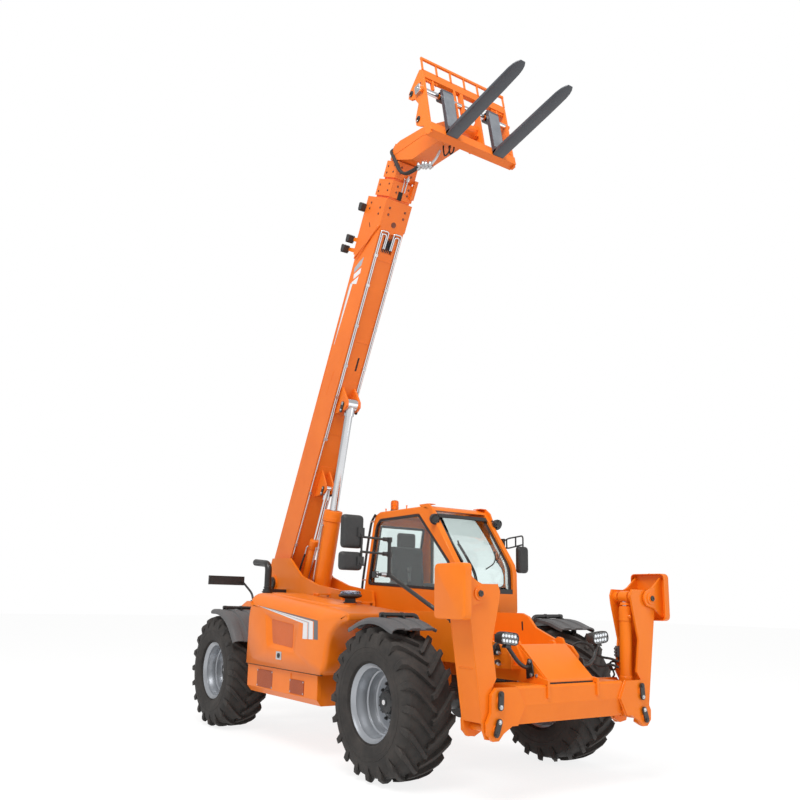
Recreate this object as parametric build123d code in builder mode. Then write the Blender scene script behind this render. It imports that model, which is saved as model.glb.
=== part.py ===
from build123d import *
from math import atan2, cos, degrees, hypot, radians, sin
import os

os.makedirs("parts", exist_ok=True)

# Driving dimensions in millimetres. X is forward, Y to the left, Z up.
# The origin is on the ground under the middle of the machine.
wheelbase = 3500
front_axle_x = 1615
rear_axle_x = front_axle_x - wheelbase
track = 2010
tyre_diameter = 1305
tyre_width = 490
rim_flange_diameter = 687
rim_seat_diameter = 615
axle_height = tyre_diameter / 2
kingpin_y = 780
seat_gap = 0.3
running_gap = 6

boom_angle = 63.3
boom_pivot = (-2335, 1720)
lift_base = (-1635, 900)
lift_eye = (2660, -294)
level_base = (-2135, 1200)
level_eye = (1518, -311)

blade_angle = 11.44
fork_heel = (1573, 6380)
tilt_pivot = (-140, 360)

rail_gap = 420
rail_plate = 30
beam_low, beam_crease, beam_high = 590, 735, 880
beam_ahead = 900
arm_depth = 250
cheek = 30
# the front beam lies ahead of the front axle and is as deep as the stabiliser arms between its cheeks
beam_back = front_axle_x + beam_ahead
arm_back = beam_back + cheek + running_gap + 2
arm_front = arm_back + arm_depth
beam_front = arm_front + 12

side_plane = Plane.XZ
cross_plane = Plane.YZ
boom_dir = (cos(radians(boom_angle)), sin(radians(boom_angle)))
boom_plane = Plane(
    origin=(boom_pivot[0], 0, boom_pivot[1]), x_dir=(boom_dir[0], 0, boom_dir[1]), z_dir=(0, -1, 0)
)
blade_dir = (cos(radians(blade_angle)), sin(radians(blade_angle)))
fork_plane = Plane(
    origin=(fork_heel[0], 0, fork_heel[1]), x_dir=(blade_dir[0], 0, blade_dir[1]), z_dir=(0, -1, 0)
)


def prism(plane, outline, low, high, mode=Mode.ADD):
    """Push an outline from low to high along the plane's own normal."""
    with BuildSketch(plane.offset(low)) as face:
        with BuildLine():
            Polyline(*outline, close=True)
        make_face()
    extrude(face.sketch, amount=high - low, mode=mode)


def slab(outline, right, left, plane=side_plane, mode=Mode.ADD):
    """A length-wise outline between two places across the machine, right to left."""
    prism(plane, outline, -left, -right, mode)


def pair(outline, inner, outer, plane=side_plane, mode=Mode.ADD):
    """The same plate on both sides of the middle."""
    slab(outline, inner, outer, plane, mode)
    slab(outline, -outer, -inner, plane, mode)


def block(x, y, z, mode=Mode.ADD):
    """A box from three (low, high) pairs."""
    with Locations(((x[0] + x[1]) / 2, (y[0] + y[1]) / 2, (z[0] + z[1]) / 2)):
        Box(x[1] - x[0], y[1] - y[0], z[1] - z[0], mode=mode)


def bar(start, end, radius, mode=Mode.ADD):
    """A round bar between two points."""
    run = Vector(*end) - Vector(*start)
    with BuildSketch(Plane(origin=start, z_dir=run)) as face:
        Circle(radius)
    extrude(face.sketch, amount=run.length, mode=mode)


def cross_bar(at, right, left, radius, plane=side_plane, mode=Mode.ADD):
    """A round bar across the machine at a point of a length-wise plane."""
    with BuildSketch(plane.offset(-left)) as face:
        with Locations(at):
            Circle(radius)
    extrude(face.sketch, amount=left - right, mode=mode)


def bent_tube(points, bend, radius):
    """A round tube along straight runs joined by arcs."""
    with BuildLine() as path:
        FilletPolyline(*points, radius=bend)
    run = Vector(*points[1]) - Vector(*points[0])
    with BuildSketch(Plane(origin=points[0], z_dir=run)) as face:
        Circle(radius)
    sweep(face.sketch, path=path.line)


def ribbon(points, thickness):
    """The outline of a sheet of even thickness along a run of points, on its left."""
    normals = []
    for start, end in zip(points, points[1:]):
        run = hypot(end[0] - start[0], end[1] - start[1])
        normals.append(((start[1] - end[1]) / run, (end[0] - start[0]) / run))
    far_side = []
    for place, point in enumerate(points):
        before = normals[max(place - 1, 0)]
        after = normals[min(place, len(normals) - 1)]
        scale = thickness / (1 + before[0] * after[0] + before[1] * after[1])
        far_side.append((point[0] + scale * (before[0] + after[0]), point[1] + scale * (before[1] + after[1])))
    return list(points) + far_side[::-1]


def fork_to_world(x, v):
    """A point of the fork plane in X and Z."""
    return (fork_heel[0] + x * blade_dir[0] - v * blade_dir[1], fork_heel[1] + x * blade_dir[1] + v * blade_dir[0])


def boom_to_world(along, up):
    """A point of the boom plane in X and Z."""
    return (
        boom_pivot[0] + along * boom_dir[0] - up * boom_dir[1],
        boom_pivot[1] + along * boom_dir[1] + up * boom_dir[0],
    )


def save(piece, name):
    """Label a finished piece and write it."""
    piece.label = name
    export_step(piece, f"parts/{name}.step")
    print(name, len(piece.solids()), round(piece.volume / 1e6, 1))


# ---- the hood's and its tray's places, which the chassis shares through the hood's hinge
tray_outer = -1150
tray_top = 795
tray_wall = 15
hood_gap = 8
hood_low = tray_top + hood_gap
hood_inner, hood_outer = -430, -1180
hood_wall = 18
hood_outline = [
    (-1080, hood_low), (-1080, 1500), (-1040, 1560), (-900, 1578), (1150, 1400), (1150, 1335),
    (920, 1275), (770, 1120), (735, 900), (680, hood_low),
]
hood_round = 150
# the pressed panel in the hood's side, with its sloping walls
recess_outline = [(-610, 1368), (217, 1285), (121, 976), (-500, 1000), (-548, 1050)]
recess_depth = 26
crown_back, crown_front = hood_outline[3], hood_outline[4]
crown_fall = (crown_back[1] - crown_front[1]) / (crown_front[0] - crown_back[0])


def hood_hinge(x):
    """A point of the hood's hinge line, which lies along the crown's inner edge."""
    return (x, hood_inner, crown_back[1] + 15 - crown_fall * (x - crown_back[0]))


hood_hinge_radius = 12
hood_hinge_x = (-800, 150)
cleaner = (235, -600)
cleaner_neck = 60
# the hood's top falls evenly between its crown's two ends
neck_boss = cleaner_neck + 8
hood_crown = crown_back[1] - crown_fall * (cleaner[0] - neck_boss - crown_back[0]) + 5

# ---- chassis: two long plates, floor, towers for the boom, nose and front plates
rail_in = rail_gap / 2
rail_out = rail_in + rail_plate
# the axles hang under the chassis, whose saddles reach down to them
saddle_low = axle_height + 199.5
axle_clear_z = saddle_low + 28
boom_pin_radius = 50
cylinder_pin_radius = 40
deck_plate = 30
nose_half = 280
front_plate_in, front_plate_out = 380, 410
# (x, z) of the long plates, from the tail up over the tower and along to the nose
rail_outline = [
    (-2560, axle_clear_z), (-2560, 1400), (-2490, 1860), (-2405, 2055), (-1895, 2044), (-1555, 1810),
    (-1145, 1700), (-585, 1630), (-520, 1250), (900, 1250), (1200, 1010), (beam_back, 1010),
    (beam_back, axle_clear_z), (950, axle_clear_z), (750, 560), (-1150, 560), (-1350, axle_clear_z),
]
front_plate_outline = [
    (960, 1010), (960, 1430), (beam_back - 700, 1430), (beam_back - 615, 1400), (beam_back - 520, 1300),
    (beam_back - 265, 1205), (beam_back - 70, 1155), (beam_back, 1080), (beam_back, 1010),
]
nose_outline = [
    (beam_back - 315, axle_clear_z), (beam_back - 315, 1120), (beam_back - 50, 1170),
    (beam_front - 20, beam_high + 30),
    (beam_front - 20, beam_high + seat_gap), (beam_back, beam_high + seat_gap), (beam_back - seat_gap, axle_clear_z),
]
nose_plate = 22
nose_side_outline = [
    (beam_back - 330, axle_clear_z), (beam_back - 330, 1130), (beam_back - 270, 1185), (beam_back - 190, 1200),
    (beam_back - 130, 1235), (beam_back - 80, 1225), (beam_back - 40, 1150), (beam_back + 30, 1045),
    (beam_back + 130, 960), (beam_front - 60, 925), (beam_front + 16, 915), (beam_front + 16, beam_crease + 40),
    (beam_front + seat_gap, beam_crease + 40), (beam_front + seat_gap, beam_high + seat_gap),
    (beam_back - seat_gap, beam_high + seat_gap), (beam_back - seat_gap, axle_clear_z),
]
with BuildPart() as chassis:
    pair(rail_outline, rail_in, rail_out)
    block((-1150, 750), (-rail_out, rail_out), (560, 590))
    block((-2560, -2300), (-rail_out, rail_out), (axle_clear_z, 1350))
    block((950, beam_back - 315), (-rail_out, rail_out), (axle_clear_z, axle_clear_z + deck_plate))
    block((760, beam_back), (-front_plate_out, front_plate_out), (1010 - deck_plate, 1010))
    pair(front_plate_outline, front_plate_in, front_plate_out)
    slab(nose_outline, -nose_half, nose_half)
    pair(nose_side_outline, nose_half - 1, nose_half + nose_plate)
    for at, radius, boss in ((lift_base, cylinder_pin_radius, 75), (level_base, 30, 60)):
        cross_bar(at, -rail_out - 12, rail_out + 12, radius)
        for side in (-1, 1):
            cross_bar(at, side * rail_out - 6, side * rail_out + 6, boss)
    cross_bar(boom_pivot, -rail_out - 40, rail_out + 40, boom_pin_radius)
    for side in (-1, 1):
        cross_bar(boom_pivot, side * rail_out - 15, side * rail_out + 15, 105)
    for axle_x in (front_axle_x, rear_axle_x):
        block((axle_x - 110, axle_x + 110), (-rail_out, rail_out), (saddle_low, axle_clear_z + 1))
    for x in hood_hinge_x:
        height = hood_hinge(x)[2]
        bar(hood_hinge(x - 60), hood_hinge(x), hood_hinge_radius)
        block((x - 58, x - 10), (hood_inner, -rail_in - 5), (height - 10, height + 6))
        block((x - 58, x - 10), (-rail_out - 12, -rail_in - 5), (1150, height + 6))
save(chassis.part, "chassis")

# ---- counterweight with the rear towing clevis
tail_front = -2560
tail_length = 290
tail_back = tail_front - tail_length
tail_half = 500
hitch_pin_radius = 16
hitch_low, hitch_step, hitch_plate = 660, 100, 25
with BuildPart() as tail:
    prism(
        cross_plane,
        [(-tail_half, 760), (-tail_half, 1380), (-380, 1480), (380, 1480), (tail_half, 1380), (tail_half, 760),
         (400, 640), (-400, 640)],
        tail_back, tail_front,
    )
    for low in (hitch_low, hitch_low + hitch_step):
        block((tail_back - 60, tail_back + 1), (-60, 60), (low, low + hitch_plate))
    bar((tail_back - 32, 0, hitch_low - 1), (tail_back - 32, 0, hitch_low + hitch_step + hitch_plate + 1),
        hitch_pin_radius, mode=Mode.SUBTRACT)
save(tail.part, "counterweight")

# ---- front beam carrying the stabilisers
arm_pivot = (869, 574)
stay_base = (828, 785)
beam_half = 620
cheek_outline = [
    (640, beam_high), (860, beam_high), (910, 830), (915, 700), (955, 620), (950, 540), (900, 490), (840, 490),
    (790, 540), (700, beam_low), (640, beam_low), (560, beam_crease),
]
beam_outline = [
    (beam_back, beam_low), (beam_front - 30, beam_low), (beam_front, beam_crease), (beam_front, beam_high - 18),
    (beam_front - 18, beam_high), (beam_back, beam_high),
]
with BuildPart() as beam:
    slab(beam_outline, -beam_half, beam_half)
    block((beam_back + 14, beam_front - 44), (-beam_half + 60, beam_half - 60), (beam_low + 14, beam_high - 14),
          mode=Mode.SUBTRACT)
    for side in (-1, 1):
        outline = [(side * y, z) for y, z in cheek_outline]
        for back in (arm_back - running_gap - cheek, arm_front + running_gap):
            prism(cross_plane, outline, back, back + cheek)
        for y, z in (arm_pivot, stay_base):
            bar((arm_back - running_gap - cheek - 8, side * y, z),
                (arm_front + running_gap + cheek + 8, side * y, z), 32)
save(beam.part, "front_beam")

# ---- stabiliser arms: a channel open to the inside, with its stay inside it
arm_lean = 8.8
arm_length = 1028
arm_wide = 190
arm_plate = 20
stay_eye = (860, 1600)
pad_gap = 6
arm_u = (cos(radians(arm_lean)), -sin(radians(arm_lean)))
arm_plane = Plane(origin=(0, arm_pivot[0], arm_pivot[1]), x_dir=(0, arm_u[0], arm_u[1]), z_dir=(1, 0, 0))


def arm_local(y, z):
    """A point across and up in the arm's own directions."""
    dy, dz = y - arm_pivot[0], z - arm_pivot[1]
    return (dy * arm_u[0] + dz * arm_u[1], -dy * arm_u[1] + dz * arm_u[0])


lug = arm_local(*stay_eye)
# the flanges are cut back round the stay's lower pin
notch_edge = arm_local(*stay_base)[0] + 32 + 8
flange_outline = [
    (-80, -60), (0, -85), (80, -60), (95, 0), (95, arm_length - 60), (60, arm_length + 60), (0, arm_length + 75),
    (lug[0] - 60, lug[1] + 60), (lug[0] - 75, lug[1]), (lug[0] - 55, lug[1] - 70), (-95, 640), (-95, 360),
    (notch_edge, 290), (notch_edge, 100), (-75, 50),
]
web_outline = [(75, 60), (95, 60), (95, arm_length - 130), (75, arm_length - 130)]
with BuildPart() as arm_left:
    for back in (arm_back, arm_front - arm_plate):
        prism(arm_plane, flange_outline, back, back + arm_plate)
    prism(arm_plane, web_outline, arm_back, arm_front)
    for at, hole in (((0, 0), 32.3), ((0, arm_length), 32)):
        with BuildSketch(arm_plane.offset(arm_back)) as bore:
            with Locations(at):
                Circle(hole)
        extrude(bore.sketch, amount=arm_front - arm_back, mode=Mode.SUBTRACT if hole > 32 else Mode.ADD)
    for back in (arm_back, arm_front - 60):
        with BuildSketch(arm_plane.offset(back)) as boss:
            with Locations(lug):
                Circle(48)
        extrude(boss.sketch, amount=60)
    for back in (arm_back - 45, arm_front):
        with BuildSketch(arm_plane.offset(back)) as pin_end:
            with Locations((0, arm_length)):
                Circle(32)
        extrude(pin_end.sketch, amount=45)
save(arm_left.part, "stabiliser_arm_left")

# ---- stabiliser pads: a face plate with a gusset each side of the arm's head
pad_face_y = 1222
pad_plate = 22
pad_x = (arm_back - 45, arm_front + 85)
pad_z = (1390, 1820)
gusset_outline = [
    (pad_face_y - pad_plate, pad_z[0] + 20), (pad_face_y - pad_plate, pad_z[1] - 20), (1060, 1690),
    (970, 1650), (945, 1590), (975, 1530), (1080, 1500),
]
pin_y = arm_pivot[0] + arm_length * sin(radians(arm_lean))
pin_z = arm_pivot[1] + arm_length * cos(radians(arm_lean))
with BuildPart() as pad_left:
    block(pad_x, (pad_face_y - pad_plate, pad_face_y), pad_z)
    for back in (arm_back - pad_gap - 20, arm_front + pad_gap):
        prism(cross_plane, gusset_outline, back, back + 20)
        near = back - 9 if back < arm_back else back - pad_gap + 0.5
        bar((near, pin_y, pin_z), (near + 34.5, pin_y, pin_z), 55)
    bar((pad_x[0] - 200, pin_y, pin_z), (pad_x[1] + 200, pin_y, pin_z), 32.3, mode=Mode.SUBTRACT)
save(pad_left.part, "stabiliser_pad_left")

# ---- stays: the cylinders that swing the stabilisers
stay_run = Vector(0, stay_eye[0] - stay_base[0], stay_eye[1] - stay_base[1])
stay_dir = stay_run.normalized()
stay_x = (arm_back + arm_front) / 2
stay_mouth = stay_run.length - 85


def stay_point(along):
    """A point on the stay's middle line."""
    return (stay_x, stay_base[0] + stay_dir.Y * along, stay_base[1] + stay_dir.Z * along)


with BuildPart() as stay_barrel_left:
    bar((stay_x - 60, *stay_base), (stay_x + 60, *stay_base), 52)
    bar(stay_point(20), stay_point(stay_mouth), 55)
    bar(stay_point(60), stay_point(stay_mouth + 1), 30.3, mode=Mode.SUBTRACT)
    bar((stay_x - 200, *stay_base), (stay_x + 200, *stay_base), 32.3, mode=Mode.SUBTRACT)
save(stay_barrel_left.part, "stay_barrel_left")
with BuildPart() as stay_rod_left:
    bar(stay_point(80), stay_point(stay_run.length - 20), 30)
    bar((stay_x - 45, *stay_eye), (stay_x + 45, *stay_eye), 45)
save(stay_rod_left.part, "stay_rod_left")

for left, name in (
    (arm_left, "stabiliser_arm_right"), (pad_left, "stabiliser_pad_right"), (stay_barrel_left, "stay_barrel_right"),
    (stay_rod_left, "stay_rod_right"),
):
    with BuildPart() as right:
        mirror(left.part, about=Plane.XZ)
    save(right.part, name)

# ---- axles, knuckles and wheels
yoke_low, yoke_high = 150, 185
kingpin_radius = 40
knuckle_radius = 62
hub_start = 96
cap_height = 16
wheel_face = 1005
tube_radius = 95
axle_names = (("front", front_axle_x), ("rear", rear_axle_x))
for end, axle_x in axle_names:
    with BuildPart() as axle:
        bar((axle_x, -kingpin_y + 100, axle_height), (axle_x, kingpin_y - 100, axle_height), tube_radius)
        bar((axle_x, -230, axle_height), (axle_x, 230, axle_height), 175)
        bar((axle_x - 230, 0, axle_height), (axle_x + 230, 0, axle_height), 130)
        block((axle_x - 105, axle_x + 105), (-rail_out, rail_out), (axle_height + 120, saddle_low - seat_gap))
        for side in (-1, 1):
            for low, high in ((-yoke_high, -yoke_low), (yoke_low, yoke_high)):
                prism(
                    Plane.XY.offset(axle_height), [(axle_x - 80, side * 600), (axle_x + 80, side * 600),
                     (axle_x + 80, side * (kingpin_y + 70)), (axle_x - 80, side * (kingpin_y + 70))], low, high,
                )
            block((axle_x - 80, axle_x + 80), sorted((side * 600, side * 680)),
                  (axle_height - yoke_high, axle_height + yoke_high))
            bar((axle_x, side * kingpin_y, axle_height - 200), (axle_x, side * kingpin_y, axle_height + 200),
                kingpin_radius + seat_gap, mode=Mode.SUBTRACT)
    save(axle.part, f"{end}_axle")

# (radius, place outward from the kingpin) of the rim's section, outer flange to disc
rim_radius = rim_flange_diameter / 2
rim_seat = rim_seat_diameter / 2
tyre_inner = wheel_face - tyre_width / 2
tyre_outer = wheel_face + tyre_width / 2
rim_outer = tyre_outer - 40
rim_inner = tyre_inner + 40
disc_y = 985
hub_radius = 170
tread_radius = tyre_diameter / 2
rim_outline = [
    (rim_seat - 12, rim_inner), (rim_radius, rim_inner), (rim_radius, rim_inner + 14), (rim_seat, rim_inner + 34),
    (rim_seat, rim_outer - 34), (rim_radius, rim_outer - 14), (rim_radius, rim_outer), (rim_seat + 8, rim_outer - 12),
    (rim_seat - 12, rim_outer - 40), (rim_seat - 18, rim_outer - 90), (rim_seat - 42, rim_outer - 100),
    (rim_seat - 50, disc_y + 30), (rim_seat - 70, disc_y + 2), (hub_radius - 30, disc_y + 2),
    (hub_radius - 30, disc_y - 20), (rim_seat - 70, disc_y - 20), (rim_seat - 30, disc_y - 20),
]
# The tyre is a hollow carcass of flat facets with leaning lugs, built once about its own axle.
lug_count = 20
lug_pitch = 360 / lug_count
lug_height = 40
lug_lean = degrees(103 / tread_radius)
lug_half = degrees(24 / tread_radius)
carcass_radius = tread_radius - lug_height
tyre_half = tyre_width / 2
# what faces the rim is drawn round the facets' middles, so that no facet cuts into the rim
facet_grow = 1 / cos(radians(lug_pitch / 2))
bead_radius = (rim_seat + seat_gap) * facet_grow
flange_radius = (rim_radius + 0.5) * facet_grow
# (radius, place outward from the tyre's middle) of the rings below the lugs, to the bead and round the air inside
tyre_rings = [
    (rim_radius + 96, tyre_half - 2), (flange_radius, tyre_half - 30), (flange_radius, tyre_half - 54.5),
    (bead_radius, tyre_half - 74.5), (bead_radius, tyre_half - 110), (rim_radius + 60, tyre_half - 50),
    (carcass_radius - 80, tyre_half - 50), (carcass_radius - 40, tyre_half - 100),
]
# (radius, place, share of the lean) along one edge of a lug: its inner top and foot, the tread's edge, and its
# outer foot and top
lug_edge = [
    (tread_radius, 8, -1), (carcass_radius, 8, -1), (carcass_radius, tyre_half - 80, 0.4),
    (carcass_radius - 52, tyre_half - 13, 1), (tread_radius, tyre_half - 13, 1),
]
# a corner of the first lug stands on the ground
first_lug = -90 - lug_lean - lug_half


def facet(*corners):
    """A flat facet between points given by turn in degrees, radius and place along the axle."""
    points = [(radius * cos(radians(turn)), place, radius * sin(radians(turn))) for turn, radius, place in corners]
    return Face(Wire.make_polygon(points, close=True))


def band(first, second):
    """Flat facets between two closed rings of points, each sorted by its turn."""
    first, second = [ring + [(ring[0][0] + 360, *ring[0][1:])] for ring in (first, second)]
    facets = []
    while len(first) + len(second) > 2:
        if [point[0] for point in first[:2]] == [point[0] for point in second[:2]]:
            facets.append(facet(first[0], first[1], second[1], second[0]))
            first, second = first[1:], second[1:]
        elif len(second) == 1 or (len(first) > 1 and first[1][0] <= second[1][0]):
            facets.append(facet(first[0], first[1], second[0]))
            first = first[1:]
        else:
            facets.append(facet(first[0], second[1], second[0]))
            second = second[1:]
    return facets


def lug_points(side, step, edge):
    """The points along a lug's back or front edge (-1 or 1)."""
    middle = first_lug + lug_pitch * (step + (0 if side > 0 else 0.5))
    return [(middle + share * lug_lean + edge * lug_half, radius, side * place) for radius, place, share in lug_edge]


def full_ring(points):
    """A ring's points sorted by their turn."""
    return sorted((turn % 360, radius, place) for turn, radius, place in points)


facets = []
inner_feet, rings = [], []
for side in (1, -1):
    inner_ring, outer_ring = [], []
    for step in range(lug_count):
        back, front = lug_points(side, step, -1), lug_points(side, step, 1)
        beyond = lug_points(side, step + 1, -1)
        facets += [facet(back[0], front[0], front[4]), facet(back[0], front[4], back[4])]
        facets += [facet(back[0], back[1], front[1], front[0]), facet(back[4], front[4], front[3], back[3])]
        facets += [facet(edge[0], edge[place], edge[place + 1]) for edge in (back, front) for place in (1, 2, 3)]
        for place in (1, 2):
            facets.append(facet(front[place], beyond[place], beyond[place + 1]))
            facets.append(facet(front[place], beyond[place + 1], front[place + 1]))
        inner_ring += [back[1], front[1]]
        outer_ring += [back[3], front[3]]
    half_rings = [full_ring(outer_ring)]
    for radius, place in tyre_rings:
        half_rings.append([(lug_pitch * step, radius, side * place) for step in range(lug_count)])
    inner_feet.append(full_ring(inner_ring))
    rings += half_rings if side > 0 else half_rings[::-1]
for first, second in [inner_feet, *zip(rings, rings[1:])]:
    facets += band(first, second)
tyre = Solid(Shell(facets))

for end, axle_x in axle_names:
    for side, hand in ((1, "left"), (-1, "right")):
        wheel_plane = Plane(origin=(axle_x, 0, axle_height), x_dir=(1, 0, 0), z_dir=(0, 0, 1))
        spin = Axis((axle_x, 0, axle_height), (0, 1, 0))
        with BuildPart() as knuckle:
            bar((axle_x, side * kingpin_y, axle_height - yoke_low + 0.5),
                (axle_x, side * kingpin_y, axle_height + yoke_low - 0.5), knuckle_radius)
            bar((axle_x, side * kingpin_y, axle_height - yoke_high),
                (axle_x, side * kingpin_y, axle_height + yoke_high + cap_height), kingpin_radius)
            bar((axle_x, side * kingpin_y, axle_height + yoke_high + 0.5),
                (axle_x, side * kingpin_y, axle_height + yoke_high + cap_height), knuckle_radius)
            bar((axle_x, side * (kingpin_y - 20), axle_height), (axle_x, side * (kingpin_y + hub_start), axle_height),
                tube_radius)
            bar((axle_x, side * (kingpin_y + 60), axle_height), (axle_x, side * (kingpin_y + hub_start), axle_height),
                hub_radius - 20)
        save(knuckle.part, f"{end}_knuckle_{hand}")
        with BuildPart() as rim:
            with BuildSketch(wheel_plane) as section:
                with BuildLine():
                    Polyline(*[(radius, side * place) for radius, place in rim_outline], close=True)
                make_face()
            revolve(section.sketch, axis=spin)
            bar((axle_x, side * (kingpin_y + hub_start + seat_gap), axle_height),
                (axle_x, side * (disc_y + 22), axle_height), hub_radius - 25)
            bar((axle_x, side * disc_y, axle_height), (axle_x, side * (disc_y + 95), axle_height), hub_radius - 55)
        save(rim.part, f"{end}_rim_{hand}")
        turned = tyre if side > 0 else tyre.mirror(Plane.XZ)
        save(turned.moved(Location((axle_x, side * wheel_face, axle_height))), f"{end}_tyre_{hand}")

# ---- fenders over the front and rear tyres, carried by the knuckles
fender_gap = 45
fender_plate = 14
fender_outer = 1240
fender_steps = 7
fender_inner = 770
stalk_y = 722
stalk_radius = 20
for end, axle_x, start, stop in (("front", front_axle_x, -360, 340), ("rear", rear_axle_x, -120, 600)):
    # (forward of the axle, above it), a crown following the tread
    crown = []
    for step in range(fender_steps + 1):
        along = start + (stop - start) * step / fender_steps
        crown.append((axle_x + along, axle_height + ((tread_radius + fender_gap) ** 2 - along**2) ** 0.5))
    top_z = axle_height + tread_radius + fender_gap
    cap_z = axle_height + yoke_high + cap_height + seat_gap
    with BuildPart() as fender:
        slab(ribbon(crown, fender_plate), -fender_outer, -fender_inner)
        bar((axle_x, -kingpin_y, cap_z), (axle_x, -kingpin_y, cap_z + 12), knuckle_radius - 10)
        bar((axle_x, -kingpin_y, cap_z + 12), (axle_x, -stalk_y, axle_height + 290), stalk_radius)
        bar((axle_x, -stalk_y, axle_height + 278), (axle_x, -stalk_y, top_z + 4), stalk_radius)
        block((axle_x - 25, axle_x + 25), (-fender_inner - 90, -stalk_y + 18), (top_z - 14, top_z + fender_plate / 2))
    save(fender.part, f"{end}_fender_right")
    with BuildPart() as fender_left:
        mirror(fender.part, about=Plane.XZ)
    save(fender_left.part, f"{end}_fender_left")

# ---- boom: four nested tubes. Columns: name, half width, low, high, wall, tail, nose
sections = (
    ("boom_outer", 172, -145, 285, 10, -250, 5230),
    ("boom_second", 150, -122, 195, 10, 180, 5460),
    ("boom_third", 129, -99, 150, 8, 260, 5690),
    ("boom_inner", 108, -80, 110, 8, 340, 5900),
)
pad_length = 250
tail_pad = 150
collar_grow = 16


def tube_outline(half, low, high, grow=0):
    """A rectangle across a boom section."""
    return [(-half - grow, low - grow), (half + grow, low - grow), (half + grow, high + grow), (-half - grow, high + grow)]


section_plane = Plane(
    origin=(boom_pivot[0], 0, boom_pivot[1]), x_dir=(0, 1, 0), z_dir=(boom_dir[0], 0, boom_dir[1])
)
# the head reaches from the innermost section down to the carriage pivot
head_start = 5702
head_half = 150
head_plate = 25
tilt_pin_radius = 35
head_outline = [
    (head_start, 95), (5860, 95), (5932, -16), (6095, -478), (6170, -1010), (6196, -1090), (6150, -1140),
    (6080, -1140), (6035, -1090), (5715, -410), (head_start, -70),
]
head_top = [(head_start, 95), (5860, 95), (5932, -16), (6095, -478)]
head_under = [(6000, -1020), (5715, -410), (head_start, -70)]
tilt_world = fork_to_world(*tilt_pivot)
dx, dz = tilt_world[0] - boom_pivot[0], tilt_world[1] - boom_pivot[1]
tilt_boom = (dx * boom_dir[0] + dz * boom_dir[1], -dx * boom_dir[1] + dz * boom_dir[0])
print("tilt pivot in the boom plane", [round(v) for v in tilt_boom])
for place, (name, half, low, high, wall, tail_end, nose) in enumerate(sections):
    with BuildPart() as section:
        prism(section_plane, tube_outline(half, low, high), tail_end, nose)
        if place:
            parent = sections[place - 1]
            prism(section_plane, tube_outline(parent[1] - parent[4], parent[2] + parent[4], parent[3] - parent[4],
                                              -seat_gap), tail_end, tail_end + tail_pad)
            prism(section_plane, tube_outline(half, low, high, collar_grow), nose - 200, nose)
        else:
            slab([(nose - 750, high), (nose - 750, high + 35), (nose - 670, high + 45), (nose, high + 45), (nose, low),
                  (nose - 330, low), (nose - 800, high)], -half - collar_grow, half + collar_grow, boom_plane)
            prism(section_plane, tube_outline(half, low, high), tail_end, nose)
        prism(section_plane, tube_outline(half - wall, low + wall, high - wall), tail_end - 1, nose - pad_length,
              mode=Mode.SUBTRACT)
        if place < len(sections) - 1:
            child = sections[place + 1]
            prism(section_plane, tube_outline(*child[1:4], seat_gap), nose - pad_length - 1, nose + 1,
                  mode=Mode.SUBTRACT)
        else:
            pair(head_outline, head_half - head_plate, head_half, boom_plane)
            slab(ribbon(head_top[::-1], 20), -head_half, head_half, boom_plane)
            slab(ribbon(head_under[::-1], 20), -head_half, head_half, boom_plane)
            cross_bar(tilt_boom, -head_half, head_half, 70, boom_plane)
            cross_bar(tilt_boom, -head_half - 1, head_half + 1, tilt_pin_radius + seat_gap, boom_plane,
                      mode=Mode.SUBTRACT)
        if place == 1:
            slab([(nose - 160, low - collar_grow + 1), (nose - 160, low - 52), (nose + 70, low - 52),
                  (nose + 70, low - 34), (nose, low - collar_grow + 1)], 118, half + collar_grow, boom_plane)
        if not place:
            pair([(-235, low + 20), (-235, high - 15), (130, high - 15), (340, 70), (340, low + 20)],
                 half - 1, half + 12, boom_plane)
            slab([(nose - 640, low - 1), (nose - 400, low - 1), (nose - 400, low + wall + 1),
                  (nose - 640, low + wall + 1)], -78, 78,
                 boom_plane, mode=Mode.SUBTRACT)
            # the rounded foot, the pivot's bosses and the ears of both cylinders
            for side in (-1, 1):
                cross_bar((0, 0), *sorted((side * (half - 12), side * (rail_in - 0.5))), 110, boom_plane)
            cross_bar((0, 0), -400, 400, boom_pin_radius + seat_gap, boom_plane, mode=Mode.SUBTRACT)
            for eye, radius, inner, outer in ((lift_eye, 95, 75, 105), (level_eye, 62, 42, 64)):
                ear = [(eye[0] - 190, low + 2), (eye[0] - 60, eye[1] - radius + 30), (eye[0], eye[1] - radius),
                       (eye[0] + 60, eye[1] - radius + 30), (eye[0] + 190, low + 2)]
                pair(ear, inner, outer, boom_plane)
    save(section.part, name)

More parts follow.
